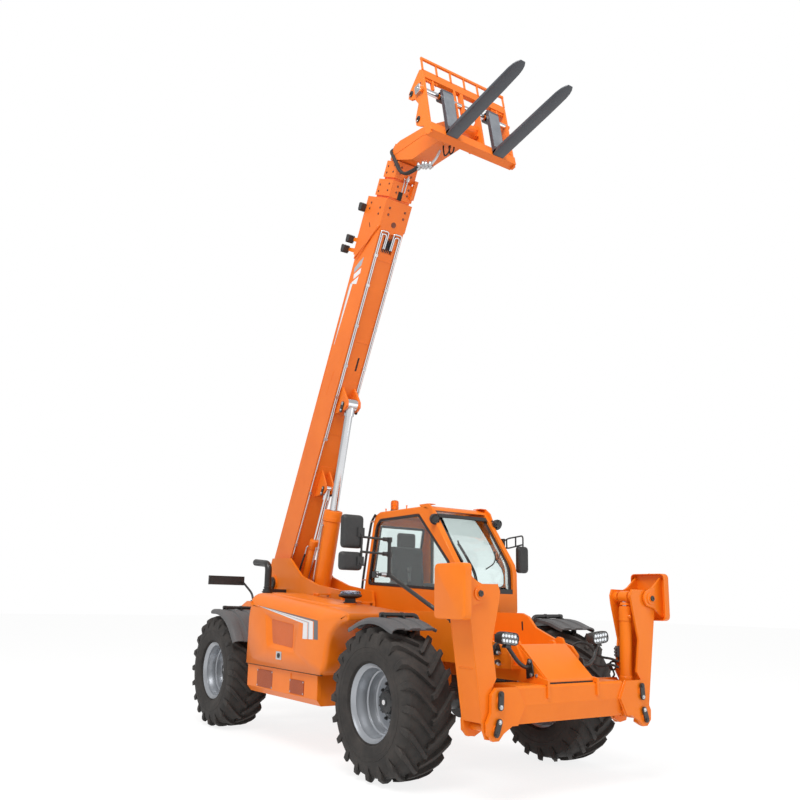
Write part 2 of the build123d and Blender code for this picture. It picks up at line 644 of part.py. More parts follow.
# ---- lift cylinder and the levelling cylinder beside it: barrel and rod of each
# the rod's inner end stands off the barrel's foot by the travel that closes the cylinder
barrel_foot = 150
rod_socket = 150
for name, base, eye, bore, shaft, reach, travel, eye_half, base_radius in (
    ("lift", lift_base, lift_eye, 110, 52, 1780, 1215, 74, 98),
    ("level", level_base, level_eye, 56, 25, 1180, 560, 41, 58),
):
    end_x, end_z = boom_to_world(*eye)
    run = hypot(end_x - base[0], end_z - base[1])
    ux, uz = (end_x - base[0]) / run, (end_z - base[1]) / run
    pin_radius = cylinder_pin_radius if name == "lift" else 30
    with BuildPart() as barrel:
        cross_bar(base, -eye_half, eye_half, base_radius)
        bar((base[0] + ux * 40, 0, base[1] + uz * 40), (base[0] + ux * reach, 0, base[1] + uz * reach), bore)
        bar((base[0] + ux * (reach - 110), 0, base[1] + uz * (reach - 110)),
            (base[0] + ux * reach, 0, base[1] + uz * reach), bore + 6)
        bar((base[0] + ux * barrel_foot, 0, base[1] + uz * barrel_foot),
            (base[0] + ux * (reach + 1), 0, base[1] + uz * (reach + 1)), shaft + seat_gap, mode=Mode.SUBTRACT)
        cross_bar(base, -rail_gap, rail_gap, pin_radius + seat_gap, mode=Mode.SUBTRACT)
    save(barrel.part, f"{name}_barrel")
    with BuildPart() as rod:
        inner_end = barrel_foot + travel
        bar((base[0] + ux * inner_end, 0, base[1] + uz * inner_end), (end_x - ux * 40, 0, end_z - uz * 40),
            shaft)
        cross_bar((end_x, end_z), -eye_half, eye_half, base_radius - 22)
        bar((end_x - ux * rod_socket, 0, end_z - uz * rod_socket), (end_x, 0, end_z), shaft + 14)
    save(rod.part, f"{name}_rod")

# ---- fork carriage with its backrest
plate_out = 600
beam_face = -seat_gap
side_outline = [
    (-15, -30), (-15, 800), (-60, 850), (-110, 820), (-285, 700), (-300, 640), (-270, 600), (-200, 560),
    (-150, 450), (-230, 300), (-230, 220), (-180, 170), (-110, 120), (-70, -30),
]
hook_outline = [
    (-75, 825), (-75, 730), (-110, 660), (-90, 470), (-195, 420), (-215, 330), (-160, 290), (-75, 280), (-75, 90),
    (-20, 90), (-20, 825),
]
fork_shaft = (-48, 560)
shaft_radius = 28
with BuildPart() as carriage:
    pair(side_outline, plate_out - 25, plate_out, fork_plane)
    slab([(-75, 730), (-20, 730), (-20, 830), (-75, 830)], -plate_out, plate_out, fork_plane)
    slab([(-105, -5), (beam_face, -5), (beam_face, 95), (-105, 95)], -plate_out, plate_out, fork_plane)
    pair(hook_outline, head_half + 1, head_half + 26, fork_plane)
    cross_bar(fork_shaft, -plate_out - 30, plate_out + 30, shaft_radius, fork_plane)
    cross_bar(tilt_pivot, -head_half - 40, head_half + 40, tilt_pin_radius, fork_plane)
    slab([(-30, 960), (-8, 960), (-8, 990), (-30, 990)], -plate_out, plate_out, fork_plane)
    for post in range(-3, 4):
        centre = post * (plate_out - 10) / 3
        slab([(-28, 820), (-12, 820), (-12, 970), (-28, 970)], centre - 9, centre + 9, fork_plane)
save(carriage.part, "carriage")

# ---- the two forks on their shaft
fork_thick = 45
fork_length = 1120
fork_half = 75
with BuildPart() as forks:
    for centre in (-326, 326):
        slab([(0, 0), (fork_length, fork_thick - 15), (fork_length, fork_thick), (fork_thick, fork_thick),
              (fork_thick, 600), (0, 600)], centre - fork_half, centre + fork_half, fork_plane)
        slab([(-48, 500), (10, 500), (10, 600), (-48, 615)], centre - 55, centre + 55, fork_plane)
        cross_bar(fork_shaft, centre - 55, centre + 55, 56, fork_plane)
    cross_bar(fork_shaft, -plate_out, plate_out, shaft_radius + seat_gap, fork_plane, mode=Mode.SUBTRACT)
save(forks.part, "forks")

# ---- cab: a hollow shell with its windows, door opening and front opening cut
cab_right, cab_left = 280, 1150
cab_wall = 45
cab_floor_z = 1130
cab_outline = [
    (-885, cab_floor_z), (-885, 1620), (-700, 2470), (-650, 2560), (-560, 2590), (380, 2590), (455, 2552), (915, 1945),
    (940, 1860), (945, 1430), (800, cab_floor_z),
]
window_outline = [
    (-790, 1715), (-640, 2420), (-560, 2500), (245, 2505), (805, 1950), (845, 1850), (850, 1640),
]
door_outline = [
    (-700, 1190), (-700, 2420), (-620, 2500), (245, 2505), (800, 1950), (835, 1860), (840, 1480), (700, 1190),
]
rear_window = [(370, 1715), (370, 2440), (1060, 2440), (1060, 1715)]
windscreen_low = 1620
glass_thick = 6
door_gap = 6
hinge_x = -700
hinge_radius = 14
hinge_y = cab_left + hinge_radius + 3
hinge_lows = (1350, 2250)


def inset(plane, outline, amount, low, high, mode=Mode.ADD):
    """The same outline, smaller by an amount all round, pushed along the plane's normal."""
    with BuildSketch(plane.offset(low)) as face:
        with BuildLine():
            Polyline(*outline, close=True)
        make_face()
        offset(amount=-amount, kind=Kind.INTERSECTION, mode=Mode.REPLACE)
    extrude(face.sketch, amount=high - low, mode=mode)


with BuildPart() as cab:
    slab(cab_outline, cab_right, cab_left)
    inset(side_plane, cab_outline, cab_wall, -cab_left + cab_wall, -cab_right - cab_wall, mode=Mode.SUBTRACT)
    slab(window_outline, cab_right - 1, cab_right + cab_wall + 1, mode=Mode.SUBTRACT)
    inset(side_plane, door_outline, -door_gap, -cab_left - 1, -cab_left + cab_wall + 1, mode=Mode.SUBTRACT)
    prism(cross_plane, rear_window, -900, -600, mode=Mode.SUBTRACT)
    block((330, 1000), (cab_right + 70, cab_left - 70), (windscreen_low, 2535), mode=Mode.SUBTRACT)
    block((-450, 260), (cab_right + 110, cab_left - 110), (2500, 2600), mode=Mode.SUBTRACT)
    for low in hinge_lows:
        bar((hinge_x, hinge_y, low), (hinge_x, hinge_y, low + 60), hinge_radius)
        block((hinge_x - 40, hinge_x - door_gap - 2), (cab_left - 2, hinge_y), (low, low + 60))
        block((hinge_x - 40, hinge_x), (hinge_y - 3, hinge_y + 3), (low, low + 60))
save(cab.part, "cab_frame")

with BuildPart() as cab_glass:
    inset(side_plane, window_outline, seat_gap, -cab_right - 26, -cab_right - 20)
    slab(ribbon([(905, windscreen_low + seat_gap), (900, 1855), (880, 1930), (455, 2495)], glass_thick),
         cab_right + 70 + seat_gap, cab_left - 70 - seat_gap)
    slab(ribbon([(-840, 1715.5), (-688, 2438)], glass_thick), 370 + seat_gap, 1060 - seat_gap)
    block((-450 + seat_gap, 260 - seat_gap), (cab_right + 110 + seat_gap, cab_left - 110 - seat_gap), (2560, 2566))
save(cab_glass.part, "cab_glass")

door_window = [(-620, 1700), (-620, 2400), (-590, 2430), (210, 2435), (730, 1920), (765, 1840), (770, 1640)]
with BuildPart() as door:
    slab(door_outline, cab_left - cab_wall, cab_left)
    slab(door_window, cab_left - cab_wall - 1, cab_left + 1, mode=Mode.SUBTRACT)
    for low in hinge_lows:
        bar((hinge_x, hinge_y, low + 60 + seat_gap), (hinge_x, hinge_y, low + 110), hinge_radius)
        block((hinge_x + 8, hinge_x + 60), (cab_left - 2, hinge_y), (low + 60 + seat_gap, low + 110))
        block((hinge_x, hinge_x + 60), (hinge_y - 3, hinge_y + 3), (low + 60 + seat_gap, low + 110))
    block((560, 600), (cab_left - 1, cab_left + 30), (1560, 1640))
save(door.part, "cab_door")
with BuildPart() as door_glass:
    inset(side_plane, door_window, seat_gap, -cab_left + 20, -cab_left + 26)
save(door_glass.part, "door_glass")

# ---- inside the cab: seat on its box, console, steering column
seat_y = (cab_right + cab_left) / 2
inner_floor = cab_floor_z + cab_wall
with BuildPart() as seat:
    block((-560, -130), (seat_y - 200, seat_y + 200), (inner_floor, inner_floor + 330))
    block((-590, -60), (seat_y - 250, seat_y + 250), (inner_floor + 330, inner_floor + 450))
    slab([(-620, inner_floor + 400), (-470, inner_floor + 400), (-540, inner_floor + 1000), (-640, inner_floor + 1000)],
         seat_y - 230, seat_y + 230)
    slab([(-625, inner_floor + 995), (-555, inner_floor + 995), (-565, inner_floor + 1180), (-630, inner_floor + 1180)],
         seat_y - 130, seat_y + 130)
save(seat.part, "operator_seat")
with BuildPart() as column:
    slab([(420, inner_floor), (640, inner_floor), (600, inner_floor + 330), (480, inner_floor + 560),
          (420, inner_floor + 540)], seat_y - 90, seat_y + 90)
    bar((450, seat_y, inner_floor + 500), (330, seat_y, inner_floor + 640), 22)
    with BuildSketch(Plane(origin=(330, seat_y, inner_floor + 640), z_dir=(-0.65, 0, 0.76))) as wheel:
        Circle(190)
        Circle(160, mode=Mode.SUBTRACT)
        Rectangle(330, 30)
    extrude(wheel.sketch, amount=26)
save(column.part, "steering_column")

# ---- left side: tank with the steps under the door
box_back, box_front = rear_axle_x + 850, front_axle_x - 1050
box_low = 500
with BuildPart() as tank:
    block((box_back, box_front), (rail_out, 1010), (box_low, cab_floor_z))
    for low in (600, 860):
        block((box_front - 700, box_front - 100), (1009, 1130), (low, low + 40))
        for side_x in (box_front - 700, box_front - 120):
            block((side_x, side_x + 20), (1009, 1130), (low, low + 160))
save(tank.part, "fuel_tank")

# ---- right side: engine tray, engine and its hood
engine_top = 1250
tray_vents = (-580, 155)
vent_half, vent_low = 150, 570
with BuildPart() as tray:
    prism(
        cross_plane,
        [(-rail_out, box_low), (-rail_out, tray_top), (tray_outer, tray_top), (tray_outer, box_low + 60),
         (tray_outer + 50, box_low)],
        box_back, box_front,
    )
    block((box_back + tray_wall, box_front - tray_wall), (tray_outer + tray_wall, -rail_out - tray_wall),
          (box_low + 60, tray_top + 1), mode=Mode.SUBTRACT)
    for vent_x in tray_vents:
        block((vent_x - vent_half, vent_x + vent_half), (tray_outer - 1, tray_outer + 6), (vent_low, vent_low + 200),
              mode=Mode.SUBTRACT)
save(tray.part, "engine_tray")
with BuildPart() as engine:
    block((-760, 380), (-1000, -450), (box_low + 60, engine_top))
    block((-960, -760), (-950, -480), (box_low + 60, 1180))
save(engine.part, "engine_block")

with BuildPart() as hood:
    slab(hood_outline, hood_outer, hood_inner)
    tops = hood.edges().filter_by(lambda e: e.center().Y < hood_outer + 1 and e.center().Z > 1430)
    fillet(tops, hood_round)
    with BuildPart(mode=Mode.PRIVATE) as room:
        inset(side_plane, hood_outline, hood_wall, -hood_inner - 1, -hood_outer - hood_wall)
        crown = room.edges().filter_by(lambda e: e.center().Y < hood_outer + hood_wall + 1 and e.center().Z > 1420)
        fillet(crown, hood_round - hood_wall)
    add(room.part, mode=Mode.SUBTRACT)
    block((-1062, 670), (hood_outer + hood_wall, hood_inner + 1), (hood_low - 1, hood_low + 40), mode=Mode.SUBTRACT)
    slab(recess_outline, hood_outer + 1, hood_outer + recess_depth + hood_wall)
    with BuildSketch(side_plane.offset(-hood_outer)) as mouth:
        with BuildLine():
            Polyline(*recess_outline, close=True)
        make_face()
        offset(amount=-8, kind=Kind.INTERSECTION, mode=Mode.REPLACE)
    extrude(mouth.sketch, amount=-recess_depth, taper=35, mode=Mode.SUBTRACT)
    bar((*cleaner, hood_crown - 20), (*cleaner, hood_crown - seat_gap), neck_boss)
    for x in hood_hinge_x:
        bar(hood_hinge(x + seat_gap), hood_hinge(x + 60), hood_hinge_radius)
        block((x + 8, x + 52), (hood_inner - 8, hood_inner - 0.01), (hood_hinge(x)[2] - 24, hood_hinge(x)[2]))
save(hood.part, "engine_hood")

# ---- exhaust beside the boom tower, and the air pre-cleaner on the hood
exhaust_y = -500
with BuildPart() as exhaust:
    bent_tube([(-1975, exhaust_y, 1520), (-1975, exhaust_y, 1960), (-2365, exhaust_y, 1990)], 90, 45)
    block((-2000, -1950), (exhaust_y, -rail_out), (1600, 1640))
    bar((-1975, exhaust_y, 1420), (-1975, exhaust_y, 1640), 60)
save(exhaust.part, "exhaust_pipe")

with BuildPart() as precleaner:
    bar((*cleaner, hood_crown), (*cleaner, hood_crown + 75), cleaner_neck)
    bar((*cleaner, hood_crown + 60), (*cleaner, hood_crown + 90), 125)
    bar((*cleaner, hood_crown + 85), (*cleaner, hood_crown + 130), 110)
save(precleaner.part, "air_precleaner")

# ---- lamps: beacon, work lamps on the nose, cab lamps, rear bars
lamp_x = beam_front - 195
with BuildPart() as lamps:
    bar((-560, 500, 2590), (-560, 500, 2625), 60)
    bar((-560, 500, 2620), (-560, 500, 2755), 48)
    for side in (-1, 1):
        foot = nose_half + nose_plate + seat_gap
        bent_tube([(lamp_x, side * (foot + 18), beam_high + 28), (lamp_x + 40, side * (foot + 60), 935),
                   (lamp_x + 20, side * 520, 1210)], 20, 16)
        block((lamp_x - 25, lamp_x + 25), sorted((side * foot, side * (foot + 24))), (beam_high + seat_gap, 930))
        with BuildSketch(cross_plane.offset(lamp_x - 15)) as face:
            with Locations((side * 540, 1235)):
                RectangleRounded(180, 100, 48)
        extrude(face.sketch, amount=55)
        block((tail_back + 120, tail_back + 180), sorted((side * 335, side * 378)), (1480 + seat_gap, 1492))
        bar((tail_back + 150, side * 358, 1491), (tail_back + 110, side * 362, 1585), 15)
        bar((tail_back + 110, side * 362, 1575), (tail_back + 20, side * 470, 1740), 15)
        block((tail_back, tail_back + 25), sorted((side * 450, side * 960)), (1690, 1810))
save(lamps.part, "lamps")

# ---- mirrors: a pair on a post ahead of the cab at the right, one on the cab at the left
mirror_post = (1465, -950)
with BuildPart() as mirrors:
    block((beam_back - 225, beam_back - 145), (-front_plate_out - 14, -front_plate_out - seat_gap), (1085, 1165))
    bent_tube([(beam_back - 185, -front_plate_out - 13, 1130), (beam_back - 275, -860, 1400), (2065, -890, 1470),
               (*mirror_post, 1760), (*mirror_post, 2280)], 40, 20)
    for height in (2100, 2250):
        bar((*mirror_post, height), (1465, -1260, height), 11)
    bar((1450, -1260, 1800), (1450, -1260, 2280), 11)
    for head_low, head_high in ((1790, 1950), (1980, 2290)):
        with BuildSketch(cross_plane.offset(1395)) as face:
            with Locations((-1345, (head_low + head_high) / 2)):
                RectangleRounded(210, head_high - head_low, 38)
        extrude(face.sketch, amount=60)
    for foot_x, height in ((780, 2050), (700, 2150)):
        block((foot_x - 20, foot_x + 20), (cab_left + seat_gap, cab_left + 14), (height - 20, height + 20))
        bent_tube([(foot_x, cab_left + 13, height), (foot_x + 40, 1220, height + 30), (950, 1390, height + 40)], 20, 10)
    bar((950, 1385, 2210), (950, 1385, 1900), 10)
    with BuildSketch(cross_plane.offset(915)) as face:
        with Locations((1380, 2010)):
            RectangleRounded(140, 320, 38)
    extrude(face.sketch, amount=50)
save(mirrors.part, "mirrors")
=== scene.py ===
import bpy, bmesh
from math import atan2, cos, exp, pi, radians, sin
from mathutils import Matrix, Vector


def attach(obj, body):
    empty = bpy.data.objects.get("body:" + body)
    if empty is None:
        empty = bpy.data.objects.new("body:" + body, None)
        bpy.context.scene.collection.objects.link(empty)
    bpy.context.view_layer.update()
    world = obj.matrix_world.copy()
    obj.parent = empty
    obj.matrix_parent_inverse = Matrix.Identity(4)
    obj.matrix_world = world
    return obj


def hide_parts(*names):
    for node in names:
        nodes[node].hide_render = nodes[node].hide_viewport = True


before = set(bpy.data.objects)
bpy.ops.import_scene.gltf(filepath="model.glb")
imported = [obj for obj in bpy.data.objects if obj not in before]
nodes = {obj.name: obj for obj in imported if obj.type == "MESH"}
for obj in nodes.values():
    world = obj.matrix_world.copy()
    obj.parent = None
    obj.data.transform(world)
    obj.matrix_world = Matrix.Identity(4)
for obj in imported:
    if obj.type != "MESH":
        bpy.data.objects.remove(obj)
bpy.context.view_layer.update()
mm = 0.001
sides = ((1, "left"), (-1, "right"))


# planes: each takes two measures in the plane and one across it, all in millimetres
def sidePlane(a, b, d):
    return Vector((a, d, b)) * mm


def crossPlane(a, b, d):
    return Vector((d, a, b)) * mm


def topPlane(a, b, d):
    return Vector((a, b, d)) * mm


def tilted(origin, angle):
    c, s = cos(radians(angle)), sin(radians(angle))
    return lambda u, v, d: Vector((origin[0] + u * c - v * s, d, origin[1] + u * s + v * c)) * mm


boomPivot, forkHeel, armFoot = (-2335, 1720), (1573, 6380), (869, 574)
boomPlane = tilted(boomPivot, 63.3)
forkPlane = tilted(forkHeel, 11.44)
boomDown = boomPlane(0, -1, 0) - boomPlane(0, 0, 0)
armLean = radians(8.8)


def armPlane(side):
    # across the arm outward, up along it, and forward
    return lambda u, v, d: Vector((d, side * (armFoot[0] + u * cos(armLean) + v * sin(armLean)),
                                   armFoot[1] - u * sin(armLean) + v * cos(armLean))) * mm


def cornerArc(last, here, following, radius, steps, most=0.48):
    # points of the arc that takes up a corner; it keeps within a share of either leg
    here = Vector(here)
    before, after = Vector(last) - here, Vector(following) - here
    reach = min(radius, before.length * most, after.length * most)
    start, end = here + before.normalized() * reach, here + after.normalized() * reach
    return [start * (1 - t) ** 2 + here * 2 * t * (1 - t) + end * t * t
            for t in (step / steps for step in range(steps + 1))]


def rounded(outline, radius, steps=4):
    # the outline with an arc at each corner
    points = []
    for i, corner in enumerate(outline):
        following = outline[(i + 1) % len(outline)]
        points += [tuple(p) for p in cornerArc(outline[i - 1], corner, following, radius, steps)]
    return points


def bentLine(points, radius, steps=6):
    # a route with its corners turned into arcs, as vectors in millimetres
    route = [Vector(points[0])]
    for last, here, following in zip(points, points[1:], points[2:]):
        route += cornerArc(last, here, following, radius, steps, 0.49)
    return route + [Vector(points[-1])]


def corners(across, along):
    # the four corners of an upright oblong
    return [(across[0], along[0]), (across[1], along[0]), (across[1], along[1]), (across[0], along[1])]


def turns(count, lead=0):
    # angles that share a full circle
    return [2 * pi * (k + lead) / count for k in range(count)]


def spokes(across, up, sides):
    return [across * cos(turn) + up * sin(turn) for turn in turns(sides)]


def addObject(name, data):
    obj = bpy.data.objects.new(name, data)
    bpy.context.scene.collection.objects.link(obj)
    return obj


class Piece:
    # gathers the faces of one piece, in metres
    def __init__(self):
        self.bm = bmesh.new()

    def skin(self, rings, caps=True, around=True):
        # joins rings of equally many points into one surface
        made = [[self.bm.verts.new(p) for p in ring] for ring in rings]
        for low, high in zip(made, made[1:]):
            span = range(len(low)) if around else range(len(low) - 1)
            for i in span:
                j = (i + 1) % len(low)
                self.bm.faces.new((low[i], low[j], high[j], high[i]))
        if caps:
            self.bm.faces.new(made[0][::-1])
            self.bm.faces.new(made[-1])
        return made

    def cap(self, ring):
        self.bm.faces.new([self.bm.verts.new(p) for p in ring])

    def prism(self, plane, outline, low, high, radius=0):
        if radius:
            outline = rounded(outline, radius)
        self.skin([[plane(a, b, d) for a, b in outline] for d in (low, high)])

    def block(self, x, y, z):
        self.prism(topPlane, corners(x, y), *z)

    def tube(self, points, radius, bend=0, sides=12):
        # a round tube along a route in millimetres
        route = [p * mm for p in (bentLine(points, bend) if bend else [Vector(p) for p in points])]
        kept = [route[0]]
        for p in route[1:]:
            if (p - kept[-1]).length > 1e-5:
                kept.append(p)
        route = kept
        ahead = (route[1] - route[0]).normalized()
        across = ahead.orthogonal().normalized()
        rings = []
        for i, p in enumerate(route):
            here = (route[min(i + 1, len(route) - 1)] - route[max(i - 1, 0)]).normalized()
            across = (ahead.rotation_difference(here) @ across).normalized()
            ahead = here
            up = here.cross(across)
            rings.append([p + spoke * radius * mm for spoke in spokes(across, up, sides)])
        self.skin(rings)

    def lathe(self, profile, at, axis, sides=48, close=False):
        # turns (radius, along) about an axis through a point, in millimetres
        ahead = Vector(axis).normalized()
        across = ahead.orthogonal().normalized()
        up = ahead.cross(across)
        rings = []
        for radius, along in profile:
            radius = max(radius, 0.05)
            rings.append([(Vector(at) + ahead * along + spoke * radius) * mm
                          for spoke in spokes(across, up, sides)])
        if close:
            rings.append(rings[0])
            made = self.skin(rings, caps=False)
            bmesh.ops.remove_doubles(self.bm, verts=made[0] + made[-1], dist=1e-7)
        else:
            self.skin(rings)

    def bolt(self, at, axis, radius, height, washer=0):
        # a hexagon head on its washer
        ahead = Vector(axis).normalized()
        if washer:
            self.lathe([(washer, 0), (washer, height * 0.25)], at, axis, sides=16)
        self.lathe([(radius, 0), (radius, height * 0.8), (radius * 0.85, height)], at, ahead, sides=6)

    def finish(self, name, material, body, slot=None, bevel=0.0, replaces=(), smooth=38, segments=2):
        bmesh.ops.recalc_face_normals(self.bm, faces=self.bm.faces)
        for face in self.bm.faces:
            face.smooth = True
        for edge in self.bm.edges:
            edge.smooth = edge.calc_face_angle(0) < radians(smooth)
        mesh = bpy.data.meshes.new(name)
        self.bm.to_mesh(mesh)
        self.bm.free()
        obj = addObject(name, mesh)
        mesh.materials.append(material)
        if bevel:
            edge = obj.modifiers.new("edges", "BEVEL")
            edge.width, edge.segments, edge.limit_method = bevel * mm, segments, "ANGLE"
            edge.angle_limit = radians(35)
            edge.use_clamp_overlap = True
            edge.harden_normals = True
        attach(obj, body)
        if replaces:
            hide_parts(*replaces)
        return obj


# shader groups
def newGroup(name, inputs, outputs):
    tree = bpy.data.node_groups.new(name, "ShaderNodeTree")
    kinds = {"f": "NodeSocketFloat", "c": "NodeSocketColor", "v": "NodeSocketVector"}
    for label, kind, value in inputs:
        socket = tree.interface.new_socket(name=label, in_out="INPUT", socket_type=kinds[kind])
        socket.default_value = value
    for label, kind in outputs:
        tree.interface.new_socket(name=label, in_out="OUTPUT", socket_type=kinds[kind])
    return tree, tree.nodes.new("NodeGroupInput"), tree.nodes.new("NodeGroupOutput")


def addNode(tree, kind, settings=None, **values):
    node = tree.nodes.new(kind)
    for key, value in (settings or {}).items():
        setattr(node, key, value)
    for key, value in values.items():
        node.inputs[key.replace("_", " ")].default_value = value
    return node


def wire(tree, *pairs):
    for source, target in pairs:
        tree.links.new(source, target)


def mathNode(tree, operation, first, second):
    node = tree.nodes.new("ShaderNodeMath")
    node.operation = operation
    for socket, value in zip(node.inputs, (first, second)):
        if isinstance(value, (int, float)):
            socket.default_value = value
        else:
            tree.links.new(value, socket)
    return node.outputs[0]


def mixColour(tree, factor, first, second, mode="MIX"):
    node = tree.nodes.new("ShaderNodeMix")
    node.data_type, node.blend_type = "RGBA", mode
    for socket, value in ((node.inputs["Factor"], factor), (node.inputs[6], first),
                          (node.inputs[7], second)):
        if isinstance(value, (int, float, tuple)):
            socket.default_value = value
        else:
            tree.links.new(value, socket)
    return node.outputs[2]


def makeFinishGroup():
    # colour that shifts a little over the piece, dust where it can lie, and a fine skin
    tree, given, out = newGroup("machineFinish", [
        ("Colour", "c", (0.8, 0.2, 0.02, 1)), ("Shade", "c", (0.6, 0.12, 0.01, 1)),
        ("Dust", "c", (0.36, 0.31, 0.25, 1)), ("Dust Amount", "f", 0.1), ("Roughness", "f", 0.35),
        ("Roughness Spread", "f", 0.08), ("Patch Scale", "f", 2.5), ("Grain Scale", "f", 320.0),
        ("Grain Depth", "f", 0.0006), ("Edge Radius", "f", 0.003),
    ], [("Colour", "c"), ("Roughness", "f"), ("Normal", "v")])
    place = addNode(tree, "ShaderNodeTexCoord")
    patches = addNode(tree, "ShaderNodeTexNoise", Detail=4.0, Roughness=0.6)
    specks = addNode(tree, "ShaderNodeTexNoise", Scale=38.0, Detail=6.0, Roughness=0.7)
    grain = addNode(tree, "ShaderNodeTexNoise", Detail=2.0, Roughness=0.5)
    shape = addNode(tree, "ShaderNodeNewGeometry")
    split = addNode(tree, "ShaderNodeSeparateXYZ")
    soft = addNode(tree, "ShaderNodeBevel", {"samples": 4})
    bump = addNode(tree, "ShaderNodeBump", Strength=1.0)
    wire(tree, (place.outputs["Object"], patches.inputs["Vector"]),
         (place.outputs["Object"], specks.inputs["Vector"]),
         (place.outputs["Object"], grain.inputs["Vector"]),
         (given.outputs["Patch Scale"], patches.inputs["Scale"]),
         (given.outputs["Grain Scale"], grain.inputs["Scale"]), (shape.outputs["Normal"], split.inputs[0]),
         (given.outputs["Edge Radius"], soft.inputs["Radius"]), (soft.outputs[0], bump.inputs["Normal"]),
         (given.outputs["Grain Depth"], bump.inputs["Distance"]),
         (grain.outputs["Fac"], bump.inputs["Height"]))
    shift = addNode(tree, "ShaderNodeMapRange", From_Min=0.35, From_Max=0.7, To_Min=0.0, To_Max=1.0)
    wire(tree, (patches.outputs["Fac"], shift.inputs["Value"]))
    painted = mixColour(tree, shift.outputs[0], given.outputs["Colour"], given.outputs["Shade"])
    lying = addNode(tree, "ShaderNodeMapRange", From_Min=0.1, From_Max=0.95, To_Min=0.25, To_Max=1.0)
    wire(tree, (split.outputs["Z"], lying.inputs["Value"]))
    speckled = addNode(tree, "ShaderNodeMapRange", From_Min=0.42, From_Max=0.72, To_Min=0.15, To_Max=1.0)
    wire(tree, (specks.outputs["Fac"], speckled.inputs["Value"]))
    specked = mathNode(tree, "MULTIPLY", speckled.outputs[0], given.outputs["Dust Amount"])
    dust = mathNode(tree, "MULTIPLY", lying.outputs[0], specked)
    wire(tree, (mixColour(tree, dust, painted, given.outputs["Dust"]), out.inputs["Colour"]),
         (bump.outputs[0], out.inputs["Normal"]))
    spread = mathNode(tree, "MULTIPLY", mathNode(tree, "SUBTRACT", specks.outputs["Fac"], 0.5),
                      given.outputs["Roughness Spread"])
    rough = mathNode(tree, "ADD", mathNode(tree, "ADD", given.outputs["Roughness"], spread),
                     mathNode(tree, "MULTIPLY", dust, 0.5))
    wire(tree, (rough, out.inputs["Roughness"]))
    return tree


finishGroup = makeFinishGroup()


def newMaterial(name, metallic=0.0, coat=0.0, coatRoughness=0.03, ior=1.5):
    material = bpy.data.materials.new(name)
    material.use_nodes = True
    tree = material.node_tree
    shader = tree.nodes["Principled BSDF"]
    shader.inputs["Metallic"].default_value = metallic
    shader.inputs["IOR"].default_value = ior
    shader.inputs["Coat Weight"].default_value = coat
    shader.inputs["Coat Roughness"].default_value = coatRoughness
    return material, tree, shader


def finished(name, colour, shade, metallic=0.0, coat=0.0, coatRoughness=0.03, shine=0.5, **values):
    # a material with the shared finish; other values go to the group's inputs
    material, tree, shader = newMaterial(name, metallic, coat, coatRoughness)
    shader.inputs["Specular IOR Level"].default_value = shine
    group = tree.nodes.new("ShaderNodeGroup")
    group.node_tree = finishGroup
    group.inputs["Colour"].default_value = (*colour, 1)
    group.inputs["Shade"].default_value = (*shade, 1)
    labels = {"dust": "Dust Amount", "dustColour": "Dust", "roughness": "Roughness",
              "spread": "Roughness Spread", "patch": "Patch Scale", "grain": "Grain Scale",
              "depth": "Grain Depth", "edge": "Edge Radius"}
    for key, value in values.items():
        group.inputs[labels[key]].default_value = (*value, 1) if key == "dustColour" else value
    wire(tree, (group.outputs["Colour"], shader.inputs["Base Color"]),
         (group.outputs["Roughness"], shader.inputs["Roughness"]),
         (group.outputs["Normal"], shader.inputs["Normal"]))
    return material


machineOrange = finished("machineOrange", (0.93, 0.215, 0.008), (0.88, 0.19, 0.006), coat=0.16,
                         coatRoughness=0.08, roughness=0.4, dust=0.02, shine=0.25, depth=0.00025,
                         edge=0.004)
boomOrange = finished("boomOrange", (0.92, 0.2, 0.018), (0.86, 0.175, 0.014), coat=0.14, coatRoughness=0.1,
                      roughness=0.42, dust=0.03, shine=0.3, depth=0.0003, edge=0.004)
blackPaint = finished("blackPaint", (0.012, 0.012, 0.013), (0.02, 0.019, 0.018), coat=0.2, roughness=0.38,
                      dust=0.12)
blackPlastic = finished("blackPlastic", (0.022, 0.023, 0.025), (0.034, 0.034, 0.035), roughness=0.5,
                        dust=0.16, grain=700.0, depth=0.0009, edge=0.002)
tyreRubber = finished("tyreRubber", (0.021, 0.019, 0.018), (0.045, 0.039, 0.035), roughness=0.78,
                      spread=0.15, dust=0.28, dustColour=(0.16, 0.13, 0.11), patch=6.0, grain=160.0,
                      depth=0.0012, edge=0.004)
rimSilver = finished("rimSilver", (0.42, 0.44, 0.47), (0.34, 0.36, 0.39), metallic=0.55, coat=0.3,
                     roughness=0.34, dust=0.08, depth=0.0002)
hubBlack = finished("hubBlack", (0.02, 0.021, 0.023), (0.035, 0.035, 0.036), coat=0.2, roughness=0.42,
                    dust=0.15)
chromeRod = finished("chromeRod", (0.72, 0.73, 0.75), (0.66, 0.67, 0.69), metallic=1.0, roughness=0.12,
                     spread=0.04, dust=0.02, depth=0.00005, edge=0.001)
zincSteel = finished("zincSteel", (0.62, 0.63, 0.64), (0.48, 0.49, 0.51), metallic=0.9, roughness=0.3,
                     dust=0.05, edge=0.001)
forkSlate = finished("forkSlate", (0.045, 0.052, 0.065), (0.058, 0.064, 0.077), coat=0.25, roughness=0.42,
                     dust=0.1, edge=0.003)
hoseRubber = finished("hoseRubber", (0.014, 0.014, 0.015), (0.022, 0.022, 0.022), roughness=0.55, dust=0.08,
                      grain=900.0, depth=0.0004, edge=0.001)
interiorGrey = finished("interiorGrey", (0.11, 0.115, 0.12), (0.15, 0.155, 0.16), roughness=0.6, dust=0.1,
                        grain=500.0, depth=0.0008)
